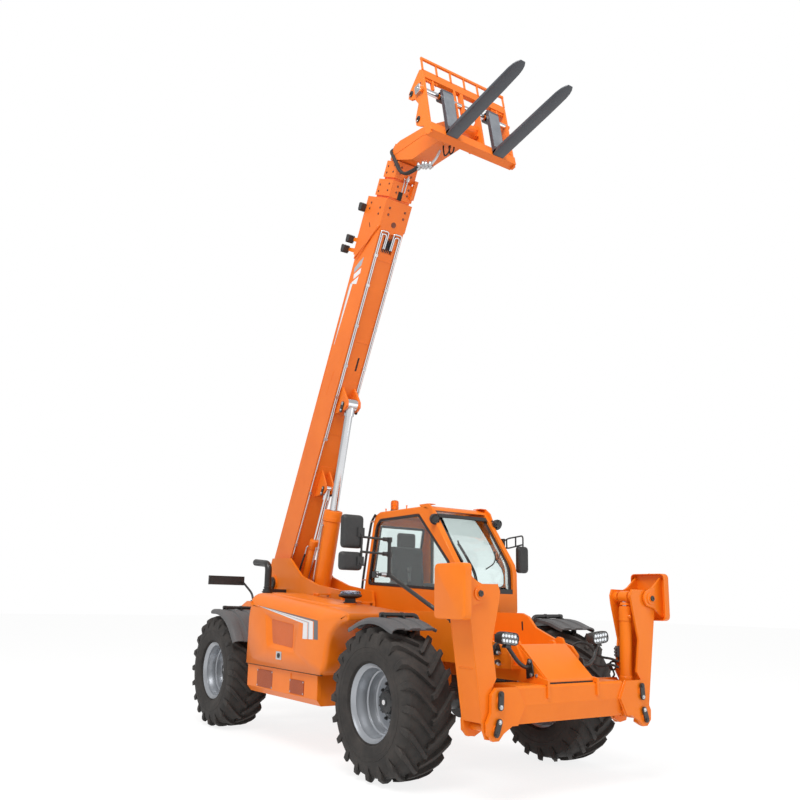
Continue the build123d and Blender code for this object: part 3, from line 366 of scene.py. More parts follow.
castAlloy = finished("castAlloy", (0.16, 0.16, 0.165), (0.1, 0.1, 0.105), metallic=0.6, roughness=0.5,
                     dust=0.25, grain=240.0, depth=0.0015)
# orange paint darkened for the perforated vents: painted shade for their holes
ventShadeOrange = finished("ventShadeOrange", (0.42, 0.075, 0.01), (0.33, 0.055, 0.008), roughness=0.5, dust=0.1,
                      grain=420.0, depth=0.0012)
# orange paint darkened for the hood's screen: painted shade in its mesh
screenShadeOrange = finished("screenShadeOrange", (0.72, 0.15, 0.03), (0.62, 0.12, 0.02), roughness=0.5, dust=0.08,
                        grain=620.0, depth=0.002)
fenderPlastic = finished("fenderPlastic", (0.09, 0.09, 0.094), (0.12, 0.118, 0.12), roughness=0.46,
                         spread=0.12, dust=0.3, dustColour=(0.2, 0.185, 0.17), grain=500.0, depth=0.001,
                         edge=0.003)
blueGrey = finished("blueGrey", (0.32, 0.38, 0.52), (0.42, 0.3, 0.3), roughness=0.5, dust=0.1, patch=40.0)
shadowBlack = finished("shadowBlack", (0.006, 0.005, 0.005), (0.01, 0.008, 0.007), roughness=0.7)
# orange paint darkened to brown for the bolt heads: painted shade
shadedBoltOrange = finished("shadedBoltOrange", (0.2, 0.05, 0.02), (0.14, 0.035, 0.015), roughness=0.5, dust=0.15)
forkBright = finished("forkBright", (0.3, 0.32, 0.35), (0.22, 0.24, 0.27), metallic=0.4, roughness=0.42,
                      spread=0.15, dust=0.1, patch=9.0, grain=240.0, depth=0.0008)
gasketBlack = finished("gasketBlack", (0.013, 0.013, 0.014), (0.02, 0.02, 0.021), roughness=0.42, dust=0.1,
                       grain=800.0, depth=0.0004, edge=0.002)
stripeWhite = finished("stripeWhite", (0.84, 0.84, 0.85), (0.78, 0.78, 0.8), coat=0.5, roughness=0.3,
                       dust=0.03)
stripeSilver = finished("stripeSilver", (0.5, 0.52, 0.56), (0.44, 0.46, 0.5), metallic=0.3, coat=0.5,
                        roughness=0.3)
stripeGrey = finished("stripeGrey", (0.09, 0.095, 0.105), (0.12, 0.125, 0.135), coat=0.5, roughness=0.32)


def glassMaterial(name, colour, roughness=0.02, weight=1.0, alpha=1.0):
    material, tree, shader = newMaterial(name, ior=1.45)
    shader.inputs["Base Color"].default_value = (*colour, 1)
    shader.inputs["Transmission Weight"].default_value = weight
    shader.inputs["Alpha"].default_value = alpha
    film = addNode(tree, "ShaderNodeTexNoise", Scale=3.0, Detail=3.0)
    spread = addNode(tree, "ShaderNodeMapRange", To_Min=roughness, To_Max=roughness + 0.03)
    place = addNode(tree, "ShaderNodeTexCoord")
    wire(tree, (place.outputs["Object"], film.inputs["Vector"]),
         (film.outputs["Fac"], spread.inputs["Value"]), (spread.outputs[0], shader.inputs["Roughness"]))
    return material


cabGlass = glassMaterial("cabGlass", (0.86, 0.93, 0.92))
lampRed = glassMaterial("lampRed", (0.7, 0.03, 0.02), 0.1, 0.7)
lampGlass = glassMaterial("lampGlass", (0.92, 0.94, 0.95))
bowlClear = glassMaterial("bowlClear", (0.75, 0.82, 0.9), 0.05)
amberLens = glassMaterial("amberLens", (1.0, 0.34, 0.01), 0.12, 0.75)
mirrorGlass = finished("mirrorGlass", (0.75, 0.77, 0.78), (0.7, 0.72, 0.73), metallic=1.0, roughness=0.04,
                       spread=0.01, dust=0.0, depth=0.0)


def glowing(name, colour, light, strength, roughness=0.5):
    material, _, shader = newMaterial(name)
    shader.inputs["Base Color"].default_value = (*colour, 1)
    shader.inputs["Emission Color"].default_value = (*light, 1)
    shader.inputs["Emission Strength"].default_value = strength
    shader.inputs["Roughness"].default_value = roughness
    return material


ledWhite = glowing("ledWhite", (0.9, 0.92, 0.95), (0.95, 0.97, 1.0), 0.35, 0.15)
ledAmber = glowing("ledAmber", (1.0, 0.5, 0.08), (1.0, 0.42, 0.04), 0.8)


def makeFabric():
    # woven cloth: two crossed waves for the yarns, with a soft colour shift
    material, tree, shader = newMaterial("seatCloth")
    place = addNode(tree, "ShaderNodeTexCoord")
    warp = addNode(tree, "ShaderNodeTexWave", {"bands_direction": "Y"}, Scale=160.0, Distortion=0.6)
    weft = addNode(tree, "ShaderNodeTexWave", {"bands_direction": "Z"}, Scale=160.0, Distortion=0.6)
    worn = addNode(tree, "ShaderNodeTexNoise", Scale=9.0, Detail=4.0)
    for texture in (warp, weft, worn):
        wire(tree, (place.outputs["Object"], texture.inputs["Vector"]))
    weave = mathNode(tree, "MAXIMUM", warp.outputs["Fac"], weft.outputs["Fac"])
    bump = addNode(tree, "ShaderNodeBump", Strength=0.7, Distance=0.0012)
    wire(tree, (weave, bump.inputs["Height"]), (bump.outputs[0], shader.inputs["Normal"]))
    colour = mixColour(tree, worn.outputs["Fac"], (0.05, 0.052, 0.056, 1), (0.085, 0.087, 0.092, 1))
    wire(tree, (mixColour(tree, weave, (0.03, 0.031, 0.034, 1), colour), shader.inputs["Base Color"]))
    shader.inputs["Roughness"].default_value = 0.9
    shader.inputs["Sheen Weight"].default_value = 0.3
    return material


seatCloth = makeFabric()
print("materials ready")

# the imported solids' finishes
finishNodes = {
    machineOrange: ("chassis", "counterweight", "front_beam", "cab_frame", "engine_tray", "engine_hood",
                    "cab_door", "fuel_tank", "lift_barrel", "level_barrel"),
    boomOrange: ("boom_outer", "boom_second", "boom_third", "boom_inner", "carriage"),
    chromeRod: ("lift_rod", "level_rod"),
    forkSlate: ("forks",),
    cabGlass: ("cab_glass", "door_glass"),
    seatCloth: ("operator_seat",),
    interiorGrey: ("steering_column",),
    castAlloy: ("engine_block",),
    blackPaint: ("exhaust_pipe", "front_axle", "rear_axle"),
    blackPlastic: ("air_precleaner", "lamps", "mirrors"),
}
nodeFinish = {name: material for material, names in finishNodes.items() for name in names}
for hand in ("left", "right"):
    for name in ("stabiliser_arm", "stabiliser_pad", "stay_barrel"):
        nodeFinish[f"{name}_{hand}"] = machineOrange
    nodeFinish[f"stay_rod_{hand}"] = chromeRod
    for end in ("front", "rear"):
        nodeFinish[f"{end}_knuckle_{hand}"] = blackPaint
        nodeFinish[f"{end}_fender_{hand}"] = blackPlastic
        nodeFinish[f"{end}_rim_{hand}"] = rimSilver
        nodeFinish[f"{end}_tyre_{hand}"] = tyreRubber
for name, material in nodeFinish.items():
    slots = nodes[name].data.materials
    if slots:
        for i in range(len(slots)):
            nodes[name].material_slots[i].material = material
    else:
        slots.append(material)
print("packed solids finished")

# wheels: the rubber with its chevron lugs, and the pressed rim with its hub
wheel = {
    "crownRadius": 616, "lugTop": 652, "halfWidth": 245, "lugs": 20, "lugHalfTop": 21, "lugHalfFoot": 31,
    "lugRound": 620, "sweep": 0.0016, "sweepTo": 215, "face": 1005, "axleZ": 652.5,
    "axleX": {"front": 1615, "rear": -1885},
}


def makeTyre(piece, at, side):
    # the carcass section, from bead to bead over the tread: (radius, place outward)
    w = wheel
    half = w["halfWidth"]
    inner = [(344.5, half - 36), (352, half - 16), (395, half - 2), (440, half), (500, half - 4),
             (560, half - 16), (594, half - 38), (610, half - 80), (w["crownRadius"], half - 150),
             (w["crownRadius"] + 2, 0)]
    section = inner + [(r, -p) for r, p in reversed(inner[:-1])]
    back = [(r - 22, p * 0.9) for r, p in reversed(section[1:-1])]
    piece.lathe([(r, side * p) for r, p in section + back], at, (0, 1, 0), sides=72, close=True)
    for ring in (430, 470):  # raised lines round the sidewall
        for hand in (-1, 1):
            piece.lathe([(ring - 3, hand * (half - 6)), (ring - 2, hand * (half + 0.4)),
                         (ring + 2, hand * (half + 0.4)), (ring + 3, hand * (half - 6))], at, (0, 1, 0),
                        sides=72, close=True)
    # a lug's stations: place outward, foot radius, top radius, share of the width, lead in degrees
    stations = [(-14, 610, 648, 0.85), (20, 610, w["lugTop"], 1.0), (90, 608, w["lugTop"], 1.0),
                (150, 604, 650, 1.05), (200, 592, 641, 1.12), (232, 570, 622, 1.15), (240, 540, 588, 1.0),
                (239, 505, 535, 0.7)]
    for hand in (-1, 1):
        for k in range(w["lugs"]):
            start = 2 * pi * (k + (0.5 if hand > 0 else 0)) / w["lugs"]
            rings = []
            for i, (place, foot, top, wide) in enumerate(stations):
                lead = start + w["sweep"] * min(max(place, 0), w["sweepTo"])
                swell = 3.5 if i >= len(stations) - 3 else 0  # the shoulder stands a little out of the wall
                ring = []
                for radius, halfWide, out in ((foot, w["lugHalfFoot"], 0), (top, w["lugHalfTop"], swell),
                                              (top, -w["lugHalfTop"], swell), (foot, -w["lugHalfFoot"], 0)):
                    turn = lead + halfWide * wide / w["lugRound"]
                    y = at[1] + hand * (min(place, 240) + out)
                    ring.append(Vector((at[0] + radius * cos(turn), y, at[2] + radius * sin(turn))) * mm)
                rings.append(ring)
            piece.skin(rings)


def makeRim(piece, at, side):
    # (radius, place outward from the wheel's middle), the well with its steps and the dished disc
    outer = [(343.5, 205), (343.5, 196), (326, 190), (318, 172), (306, 166), (300, 130), (292, 122),
             (286, 60), (276, 52), (268, 6), (262, -2), (258, -60), (262, -70), (300, -120), (318, -172),
             (326, -190), (343.5, -196), (343.5, -205)]
    inner = [(336, -205), (318, -190), (308, -172), (290, -118), (250, -68), (246, -56), (250, -6),
             (256, 4), (264, 58), (276, 66), (280, 118), (290, 136), (294, 172), (308, 180), (322, 196),
             (330, 205)]
    piece.lathe([(r, side * p) for r, p in outer + inner], at, (0, 1, 0), sides=72, close=True)
    piece.lathe([(256, side * -8), (236, side * -22), (205, side * -26), (150, side * -20),
                 (150, side * -32), (205, side * -38), (240, side * -34), (258, side * -20)], at, (0, 1, 0),
                sides=72, close=True)


def makeHub(piece, at, side):
    piece.lathe([(140, side * -128), (152, side * -40), (152, side * -14), (140, side * -8),
                 (126, side * -8), (122, side * 12), (104, side * 18), (98, side * 52), (84, side * 60),
                 (40, side * 64), (36, side * 72), (0, side * 72)], at, (0, 1, 0), sides=48)
    for turn in turns(12):
        spot = (at[0] + 168 * cos(turn), at[1] - side * 22, at[2] + 168 * sin(turn))
        piece.bolt(spot, (0, side, 0), 13, 22, washer=18)
    for turn in turns(8, 0.5):
        spot = (at[0] + 91 * cos(turn), at[1] + side * 54, at[2] + 91 * sin(turn))
        piece.bolt(spot, (0, side, 0), 7, 8)


for end, axleX in wheel["axleX"].items():
    for side, hand in sides:
        at = (axleX, side * wheel["face"], wheel["axleZ"])
        body = f"{end}_wheel_{hand}"
        piece = Piece()
        makeTyre(piece, at, side)
        piece.finish(f"{end}Rubber.{hand}", tyreRubber, body, "tyre_rubber",
                     replaces=[f"{end}_tyre_{hand}"], smooth=32)
        piece = Piece()
        makeRim(piece, at, side)
        piece.finish(f"{end}Dish.{hand}", rimSilver, body, "rim_grey", replaces=[f"{end}_rim_{hand}"],
                     smooth=25)
        piece = Piece()
        makeHub(piece, at, side)
        piece.finish(f"{end}Hub.{hand}", hubBlack, body, "black_paint")
        piece = Piece()
        piece.lathe([(22, side * 71.5), (22, side * 74.5), (16, side * 75), (0, side * 75)], at, (0, 1, 0),
                    sides=24)
        piece.finish(f"{end}HubPlug.{hand}", stripeWhite, body, "rim_grey")
print("wheels ready")

# fenders: ribbed plastic arches on their tubes, which stand on the knuckles
fender = {
    "radius": 697.5, "stalkY": 722, "tube": 20, "kingpinY": 780, "footZ": 854,
    "reach": {"front": (-31.5, 29.5), "rear": (-10, 59.5)}, "steps": 18, "flare": 14,
    "clamps": (900, 1105), "tubeEnd": 1135, "ridge": 26,
}
# across the arch: (place outward, height over the underside), out along the top and back below
fenderSection = [
    (770, -16), (770, 14), (792, 14), (802, 26), (888, 26), (898, 14), (946, 14), (956, 27), (1052, 27),
    (1062, 14), (1110, 14), (1120, 26), (1196, 26), (1222, 16), (1240, -4), (1240, -30), (1230, -30),
    (1229, -6), (1214, 4), (1190, 12), (1126, 12), (1116, 2), (804, 2), (781, 2), (780, -16),
]


def archPoint(axleX, side, turn, place, height):
    radius = fender["radius"] + height
    return Vector((axleX + radius * sin(radians(turn)), side * place,
                   wheel["axleZ"] + radius * cos(radians(turn)))) * mm


def makeArch(piece, axleX, side, start, stop):
    rings = []
    steps = fender["steps"]
    for step in range(steps + 1):
        share = step / steps
        turn = start + (stop - start) * share
        end = max(0, 1 - min(share, 1 - share) * steps / 2.2)  # the ends flare a little outward
        rings.append([archPoint(axleX, side, turn, place, height + fender["flare"] * end ** 2)
                      for place, height in fenderSection])
    piece.skin(rings)


def makeFenderTube(piece, axleX, side):
    top = wheel["axleZ"] + fender["radius"] + fender["ridge"] + fender["tube"]
    y = side * fender["stalkY"]
    piece.lathe([(56, 0), (56, 10), (30, 16)], (axleX, side * fender["kingpinY"], fender["footZ"]),
                (0, 0, 1), sides=32)
    piece.tube([(axleX, side * fender["kingpinY"], fender["footZ"] + 8), (axleX, y, fender["footZ"] + 92),
                (axleX, y, top), (axleX, side * fender["tubeEnd"], top + 4)], fender["tube"], bend=62,
               sides=16)
    for place in fender["clamps"]:
        at = side * place
        piece.prism(topPlane, corners((axleX - 46, axleX + 46), (at - 17, at + 17)),
                    top - fender["tube"] - 4, top - fender["tube"] + 6, 8)
        piece.lathe([(26, -14), (26, 14)], (axleX, at, top), (0, 1, 0), sides=20)
        for hand in (-1, 1):
            piece.bolt((axleX + hand * 34, at, top - fender["tube"] + 6), (0, 0, 1), 9, 9)


for end, axleX in wheel["axleX"].items():
    for side, hand in sides:
        body = f"{end}_knuckle_{hand}"
        piece = Piece()
        makeArch(piece, axleX, side, *fender["reach"][end])
        piece.finish(f"{end}FenderArch.{hand}", fenderPlastic, body, "black_plastic", bevel=2,
                     replaces=[f"{end}_fender_{hand}"])
        piece = Piece()
        makeFenderTube(piece, axleX, side)
        piece.finish(f"{end}FenderTube.{hand}", blackPaint, body, "black_paint", bevel=1.5)
        # brake hose on the knuckle
        piece = Piece()
        y = side * fender["kingpinY"]
        piece.tube([(axleX + 60, y - side * 40, 800), (axleX + 120, y - side * 90, 880),
                    (axleX + 90, y - side * 220, 930), (axleX + 60, y - side * 330, 880)], 11, bend=70,
                   sides=10)
        piece.finish(f"{end}BrakeHose.{hand}", hoseRubber, body, "black_plastic")
print("fenders ready")

# engine hood: a rounded pressed shell with its recess, stripes, lock and hinges
hood = {
    "inner": -430, "outer": -1180, "wall": 16, "crownZ": 1578, "crownX": -900, "fall": 0.08683,
    "recessDepth": 30, "screenGap": 3, "lock": (-223, 931), "hingeX": (-800, 150), "neck": (235, -600),
}
# (x, z, corner radius, edge radius) of the hood's line from its rear foot over the crown to the front foot
hoodLine = [
    (-1080, 803, 0, 70), (-1080, 1300, 10, 85), (-1080, 1591, 190, 140), (-700, 1560.6, 10, 150),
    (640, 1444.3, 10, 140), (1000, 1413, 30, 70), (1150, 1400, 25, 24), (1150, 1335, 20, 22),
    (915, 1278, 130, 46), (770, 1120, 150, 55), (735, 900, 90, 55), (680, 803, 0, 50),
]
recessRim = [(-610, 1368), (217, 1285), (121, 976), (-500, 1000), (-548, 1050)]
recessFloor = [(-490, 1303), (30, 1259), (32, 1019), (-425, 1046), (-447, 1070)]


def softLine(stations, steps=6):
    # a line of (x, z, corner radius, edge radius) with its corners turned into arcs
    points = [(*stations[0][:2], stations[0][3])]
    for last, here, following in zip(stations, stations[1:], stations[2:]):
        arc = cornerArc(last[:2], here[:2], following[:2], here[2], steps)
        points += [(p.x, p.y, here[3]) for p in arc]
    return points + [(*stations[-1][:2], stations[-1][3])]


def crownAt(x):
    return hood["crownZ"] - hood["fall"] * (x - hood["crownX"])


def makeHoodShell(piece):
    line = softLine(hoodLine)
    spots = [Vector(p[:2]) for p in line]
    inward = []
    for i in range(len(spots)):
        run = (spots[min(i + 1, len(spots) - 1)] - spots[max(i - 1, 0)]).normalized()
        inward.append(Vector((run.y, -run.x)))
    inward[0], inward[-1] = Vector((1, 0)), Vector((-1, 0))  # the feet stay level
    rings = [[sidePlane(p.x, p.y, hood["inner"]) for p in spots]]
    for step in range(9):
        turn = radians(90 * step / 8)
        rings.append([sidePlane(*(p + n * e[2] * (1 - cos(turn))), hood["outer"] + e[2] * (1 - sin(turn)))
                      for p, n, e in zip(spots, inward, line)])
    made = piece.skin(rings, caps=False, around=False)
    edge = made[-1]
    rim = rounded(recessRim, 34)
    floor = rounded(recessFloor, 24)
    depth = hood["recessDepth"]
    hole = piece.skin([[sidePlane(*(Vector(a) * (1 - t) + Vector(b) * t), hood["outer"] + d)
                        for a, b in zip(rim, floor)]
                       for t, d in ((0, 0), (0.08, 1.5), (0.2, 6), (0.8, depth - 6), (0.93, depth - 1),
                                    (1, depth))],
                      caps=False)
    piece.bm.faces.new(hole[-1])
    border = [piece.bm.edges.get((a, b)) or piece.bm.edges.new((a, b))
              for a, b in zip(edge, edge[1:] + edge[:1])]
    border += [piece.bm.edges.get((a, b)) for a, b in zip(hole[0], hole[0][1:] + hole[0][:1])]
    bmesh.ops.triangle_fill(piece.bm, use_beauty=True, edges=border)


piece = Piece()
makeHoodShell(piece)
shell = piece.finish("hoodShell", machineOrange, "hood", "orange_paint", replaces=["engine_hood"],
                     smooth=30)
skin = shell.modifiers.new("wall", "SOLIDIFY")
skin.thickness, skin.offset = hood["wall"] * mm, -1

piece = Piece()  # raised panel on the crown and the hinges
bulge = rounded([(-860, -1010), (330, -1010), (560, -900), (560, -760), (-860, -560)], 110, steps=6)
middle = Vector((-150, -800))
rings = []
for share, lift in ((1.0, -4), (1.0, 1), (0.965, 9), (0.93, 13), (0.86, 15)):
    ring = [middle + (Vector(p) - middle) * share for p in bulge]
    rings.append([topPlane(p.x, p.y, crownAt(p.x) + lift) for p in ring])
piece.skin(rings)
piece.finish("hoodCrownPanel", machineOrange, "hood", "orange_paint", smooth=50)
piece = Piece()
for x in hood["hingeX"]:
    z = crownAt(x) + 15
    piece.tube([(x + 0.3, hood["inner"], z), (x + 60, hood["inner"], z - 5)], 12, sides=20)
    piece.block((x + 8, x + 52), (hood["inner"] - 60, hood["inner"] - 2), (z - 22, z - 8))
piece.lathe([(68, -20), (68, 0)], (*hood["neck"], 1490), (0, 0, 1))
piece.finish("hoodHinges", machineOrange, "hood", "orange_paint", bevel=2)

# the screen's darker orange is painted shade
piece = Piece()
face = hood["outer"] + hood["recessDepth"]
piece.prism(sidePlane, [Vector((-209, 1159)) + (Vector(p) - Vector((-209, 1159))) * 0.97
                        for p in recessFloor], face - hood["screenGap"], face + 2, 22)
piece.finish("hoodScreen", screenShadeOrange, "hood", "orange_paint", bevel=1)

# stripes on the hood: three nested bands that narrow to the rear
stripe = {"tail": (-797, 1440), "proud": 1.3}
bands = [  # material, share of the way out at the inner edge and at the outer edge, tail's place along
    ("stripeInner", stripeWhite, 0.0, 0.30, 0.0), ("stripeMiddle", stripeSilver, 0.335, 0.42, 0.02),
    ("stripeOuter", stripeWhite, 0.42, 0.68, 0.05), ("stripeEdge", stripeGrey, 0.74, 1.0, 0.10),
]
for name, material, near, far, tail in bands:
    corner = [(287 + 296 * t, 1278 + 37 * t) for t in (near, far)]
    foot = [(284 + 313 * t, 1127 + 6 * t) for t in (near, far)]
    start = Vector(stripe["tail"]) + (Vector(corner[1]) - Vector(stripe["tail"])) * tail
    piece = Piece()
    piece.prism(sidePlane, [tuple(start), corner[1], foot[1], foot[0], corner[0],
                            tuple(start + Vector((0, -2)))],
                hood["outer"] - stripe["proud"], hood["outer"] + 4)
    piece.finish(name, material, "hood", "rim_grey")

piece = Piece()
x, z = hood["lock"]
piece.prism(sidePlane, corners((x - 62, x + 62), (z - 42, z + 42)), hood["outer"] - 5, hood["outer"] + 3,
            12)
piece.finish("hoodLockPlate", zincSteel, "hood", "rod_chrome", bevel=1.5)
piece = Piece()
piece.lathe([(26, -2), (26, 8), (20, 10), (8, 10), (7, 5), (0, 5)], (x, hood["outer"] - 3, z), (0, -1, 0),
            sides=28)
piece.finish("hoodLock", blackPlastic, "hood", "black_plastic")
piece = Piece()
piece.prism(topPlane, corners((-1076, 676), (-1172, -1158)), 796, 802.5)
piece.prism(topPlane, corners((-1076, -1062), (-1172, -450)), 796, 802.5)
piece.finish("hoodSeal", hoseRubber, "root", "black_plastic")

# tray: perforated vents (solid plates whose dark orange is painted shade for the holes), edge rolls,
# fasteners
tray = {"outer": -1150, "top": 795, "low": 500, "back": -1035, "front": 565, "proud": 1.5,
        "vents": ((-787, -407, 572, 754), (-10, 292, 578, 714))}
for k, (left, right, low, high) in enumerate(tray["vents"]):
    piece = Piece()
    piece.prism(sidePlane, corners((left, right), (low, high)), tray["outer"] - tray["proud"],
                tray["outer"] + 5, 10)
    piece.finish(f"trayVent{k}", ventShadeOrange, "root", "orange_paint", bevel=1)
    piece = Piece()
    for cornerX in (left + 12, right - 12):
        for cornerZ in (low + 12, high - 12):
            piece.bolt((cornerX, tray["outer"] - tray["proud"], cornerZ), (0, -1, 0), 7, 4, washer=9)
    piece.finish(f"trayVentBolts{k}", zincSteel, "root", "rod_chrome")
piece = Piece()
piece.tube([(tray["back"], tray["outer"] - 1, tray["top"] - 7),
            (tray["front"], tray["outer"] - 1, tray["top"] - 7)], 7)
piece.prism(sidePlane, corners((tray["front"] - 4, tray["front"] + 3), (tray["low"] + 62, tray["top"])),
            -1148, -1100)
piece.finish("trayEdges", machineOrange, "root", "orange_paint", bevel=1)

# air pre-cleaner on its neck
piece = Piece()
base = 1490.4
piece.lathe([(74, 0), (74, 8), (60, 12), (58, 46), (64, 52), (96, 62), (124, 70), (125, 84), (118, 90),
             (40, 90)],
            (*hood["neck"], base), (0, 0, 1), sides=56)
for turn in turns(18):
    spot = [(hood["neck"][0] + r * cos(turn), hood["neck"][1] + r * sin(turn), base + h)
            for r, h in ((66, 50), (119, 67))]
    piece.tube(spot, 4, sides=6)
piece.finish("precleanerBody", blackPlastic, "hood", "black_plastic", bevel=1, replaces=["air_precleaner"])
piece = Piece()
piece.lathe([(114, 90), (113, 108), (98, 124), (60, 129), (0, 130), (0, 127), (58, 126), (95, 121),
             (110, 107), (110, 90)], (*hood["neck"], base), (0, 0, 1), sides=56, close=True)
piece.finish("precleanerBowl", bowlClear, "hood", "window_glass")
piece = Piece()
piece.lathe([(70, 90), (66, 112), (20, 120), (0, 121)], (*hood["neck"], base), (0, 0, 1), sides=40)
for turn in turns(10):
    spot = [(hood["neck"][0] + r * cos(turn + s), hood["neck"][1] + r * sin(turn + s), base + 103)
            for r, s in ((64, 0), (104, 0.25))]
    piece.tube(spot, 9, sides=8)
piece.finish("precleanerFan", blueGrey, "hood", "black_plastic")
print("hood ready")

# boom: pipes and hoses along the underside, plates, bolts, stripes, lamps
boom = {"side": 172, "plateSide": 188, "pipe": 9, "pipeV": -158, "hoseRadius": 12, "lampY": 214}


def boomTube(piece, route, radius, bend=0, sides=10):
    # a route given as (along, up, across) in the boom's plane
    piece.tube([boomPlane(u, v, y) / mm for u, v, y in route], radius, bend=bend, sides=sides)


def boomBolt(piece, u, v, side, radius=11, height=8, washer=15):
    at = boomPlane(u, v, side * boom["plateSide"]) / mm
    piece.bolt(at, (0, side, 0), radius, height, washer)


def boomUnderBolt(piece, u, y, low, radius=11, height=8, washer=15):
    at = boomPlane(u, low, y) / mm
    piece.bolt(at, boomDown, radius, height, washer)


# pipes: an outer and an inner run each side, turned back into the hose opening at the top
piece = Piece()
for side in (-1, 1):
    for y, inward, top, back, foot in ((150, 40, 4850, 4640, 360), (127, 62, 4814, 4640, 2120)):
        boomTube(piece, [(foot, boom["pipeV"], side * y), (top, boom["pipeV"], side * y),
                         (top, boom["pipeV"], side * inward), (back, boom["pipeV"] + 8, side * inward)],
                 boom["pipe"], bend=28)
    boomTube(piece, [(360, boom["pipeV"], side * 150), (300, -120, side * 158), (240, -60, side * 158)],
             boom["pipe"], 40)
piece.finish("boomPipes", chromeRod, "boom", "rod_chrome", smooth=60)
piece = Piece()
for side in (-1, 1):
    for u in (640, 1380, 2128, 2700, 3120, 3640, 4160, 4540):
        for y in ((139,) if u > 2100 else (150,)):
            half = 24 if u > 2100 else 14
            piece.prism(boomPlane, corners((u - 17, u + 17), (-147, -172)),
                        side * (y - half), side * (y + half))
            boomUnderBolt(piece, u, side * y, -172, 5, 5, 0)
piece.finish("boomPipeClamps", zincSteel, "boom", "rod_chrome", bevel=2)
piece = Piece()
for k in range(6):
    y = -62 + 124 * k / 5
    boomTube(piece, [(4560, -95, y * 0.9), (4600, -112, y), (4700, -126, y), (4800, -108, y),
                     (4870, -85, y * 0.9)],
             boom["hoseRadius"], bend=60)
piece.finish("boomHoses", hoseRubber, "boom", "black_plastic", smooth=60)

# plates and seams on the underside and the sides
piece = Piece()
for u0, u1, y0, y1, v in ((2200, 2919, -118, 118, -149), (1330, 1760, -110, 110, -149),
                          (3440, 3452, -118, 118, -148), (4490, 4504, -118, 118, -148)):
    piece.prism(boomPlane, corners((u0, u1), (-143, v)), y0, y1)
for side in (-1, 1):
    piece.prism(boomPlane, corners((2556, 3915), (262, 268)), side * 170, side * 174.5)
    piece.prism(boomPlane, corners((3151, 3278), (-47, -43)), side * 170, side * 174)
    piece.prism(boomPlane, [(2662, 80), (3008, 32), (3008, 36), (2662, 84)], side * 170, side * 174)
    piece.prism(boomPlane, [(4430, 217), (4440, 228), (4900, -98), (4886, -108)], side * 186, side * 190.5,
                5)
    piece.prism(boomPlane, [(-230, -120), (90, -120), (330, -118), (330, 60), (120, 262), (-230, 262)],
                side * 183, side * 187)
piece.finish("boomPlates", boomOrange, "boom", "orange_paint", bevel=1.5)
piece = Piece()  # dark slots: thin black sheets of painted shade
for side in (-1, 1):
    piece.prism(boomPlane, [(4858, 76), (4912, 124), (4905, 134), (4850, 88)], side * 187, side * 189, 6)
    piece.prism(boomPlane, [(-20, 150), (150, 10), (160, 22), (-10, 164)], side * 186, side * 188, 6)
piece.prism(boomPlane, corners((3073, 3248), (-144, -146.5)), 15, 39)
piece.finish("boomSlots", shadowBlack, "boom", "black_paint")
# bolts in orange paint drawn dark: painted shade
piece = Piece()
for side in (-1, 1):
    for u, v in ((5109, -41), (5032, -35), (5153, 205), (5081, 214)):
        boomBolt(piece, u, v, side)
for u, y in ((5131, 113), (5131, -113), (5051, 111), (5051, -111)):
    boomUnderBolt(piece, u, y, -145)
at = boomPlane(4949, -145, 0) / mm
piece.lathe([(34, 0), (34, 4), (24, 5), (22, 2), (0, 2)], at, boomDown, sides=32)
piece.finish("boomBolts", shadedBoltOrange, "boom", "orange_paint")
# the sections' bolts are orange paint drawn dark: painted shade
for name, half, nose, low, high in (("second", 166, 5460, -122, 195), ("third", 145, 5690, -99, 150),
                                    ("inner", 124, 5900, -80, 110)):
    piece = Piece()
    for side in (-1, 1):
        for du in (45, 125):
            for v in (low + 55, high - 45):
                at = boomPlane(nose - du - (v - low) * 0.1, v, side * half) / mm
                piece.bolt(at, (0, side, 0), 10, 8, 14)
    if name != "inner":
        for y in (-80, 80):
            boomUnderBolt(piece, nose - 60, y, low - 16, 9, 7, 13)
            boomUnderBolt(piece, nose - 130, y, low - 16, 9, 7, 13)
    piece.finish(f"{name}Bolts", shadedBoltOrange, f"{name}_section", "orange_paint")

# stripes on the outer section's sides
for side, hand in sides:
    face = side * boom["side"]
    for name, material, outline in (
        ("GreyStripe", stripeSilver, [(4415, 138), (4481, 58), (4369, 72), (4258, 206), (4318, 219)]),
        ("WhiteStripe", stripeWhite, [(4347, 52), (4275, 44), (4182, 175), (4241, 196)]),
        ("SlimStripe", stripeWhite, [(4235, 61), (4135, 69), (4113, 216), (4149, 183)]),
        ("LongStripe", stripeWhite, [(4120, 222), (4120, 165), (3305, 218), (3305, 222)]),
        ("FineLine", stripeSilver, [(4120, 229), (4120, 234), (3305, 231), (3305, 227)]),
    ):
        piece = Piece()
        piece.prism(boomPlane, outline, face - side * 2, face + side * 1.2)
        piece.finish(f"boom{name}.{hand}", material, "boom", "rim_grey")

# lock plates of the cylinder eyes' pins
piece, bolts = Piece(), Piece()
liftEye, levelEye = (2660, -294), (1518, -311)
for (u, v), reach, radius, outer in ((liftEye, 52, 30, 106), (levelEye, 36, 20, 65)):
    for side in (-1, 1):
        piece.prism(boomPlane, corners((u - reach - 66, u + 24), (v - radius, v + radius)), side * outer,
                    side * (outer + 14), radius)
        at = boomPlane(u - reach - 36, v, side * (outer + 14)) / mm
        bolts.bolt(at, (0, side, 0), 13, 9, 18)
        at = boomPlane(u, v, side * (outer + 12)) / mm
        bolts.lathe([(radius * 0.75, 0), (radius * 0.75, 6), (radius * 0.6, 8)], at, (0, side, 0), sides=24)
piece.finish("eyeLockPlates", blackPaint, "boom", "black_paint", bevel=2)
bolts.finish("eyeLockBolts", zincSteel, "boom", "rod_chrome", bevel=1)

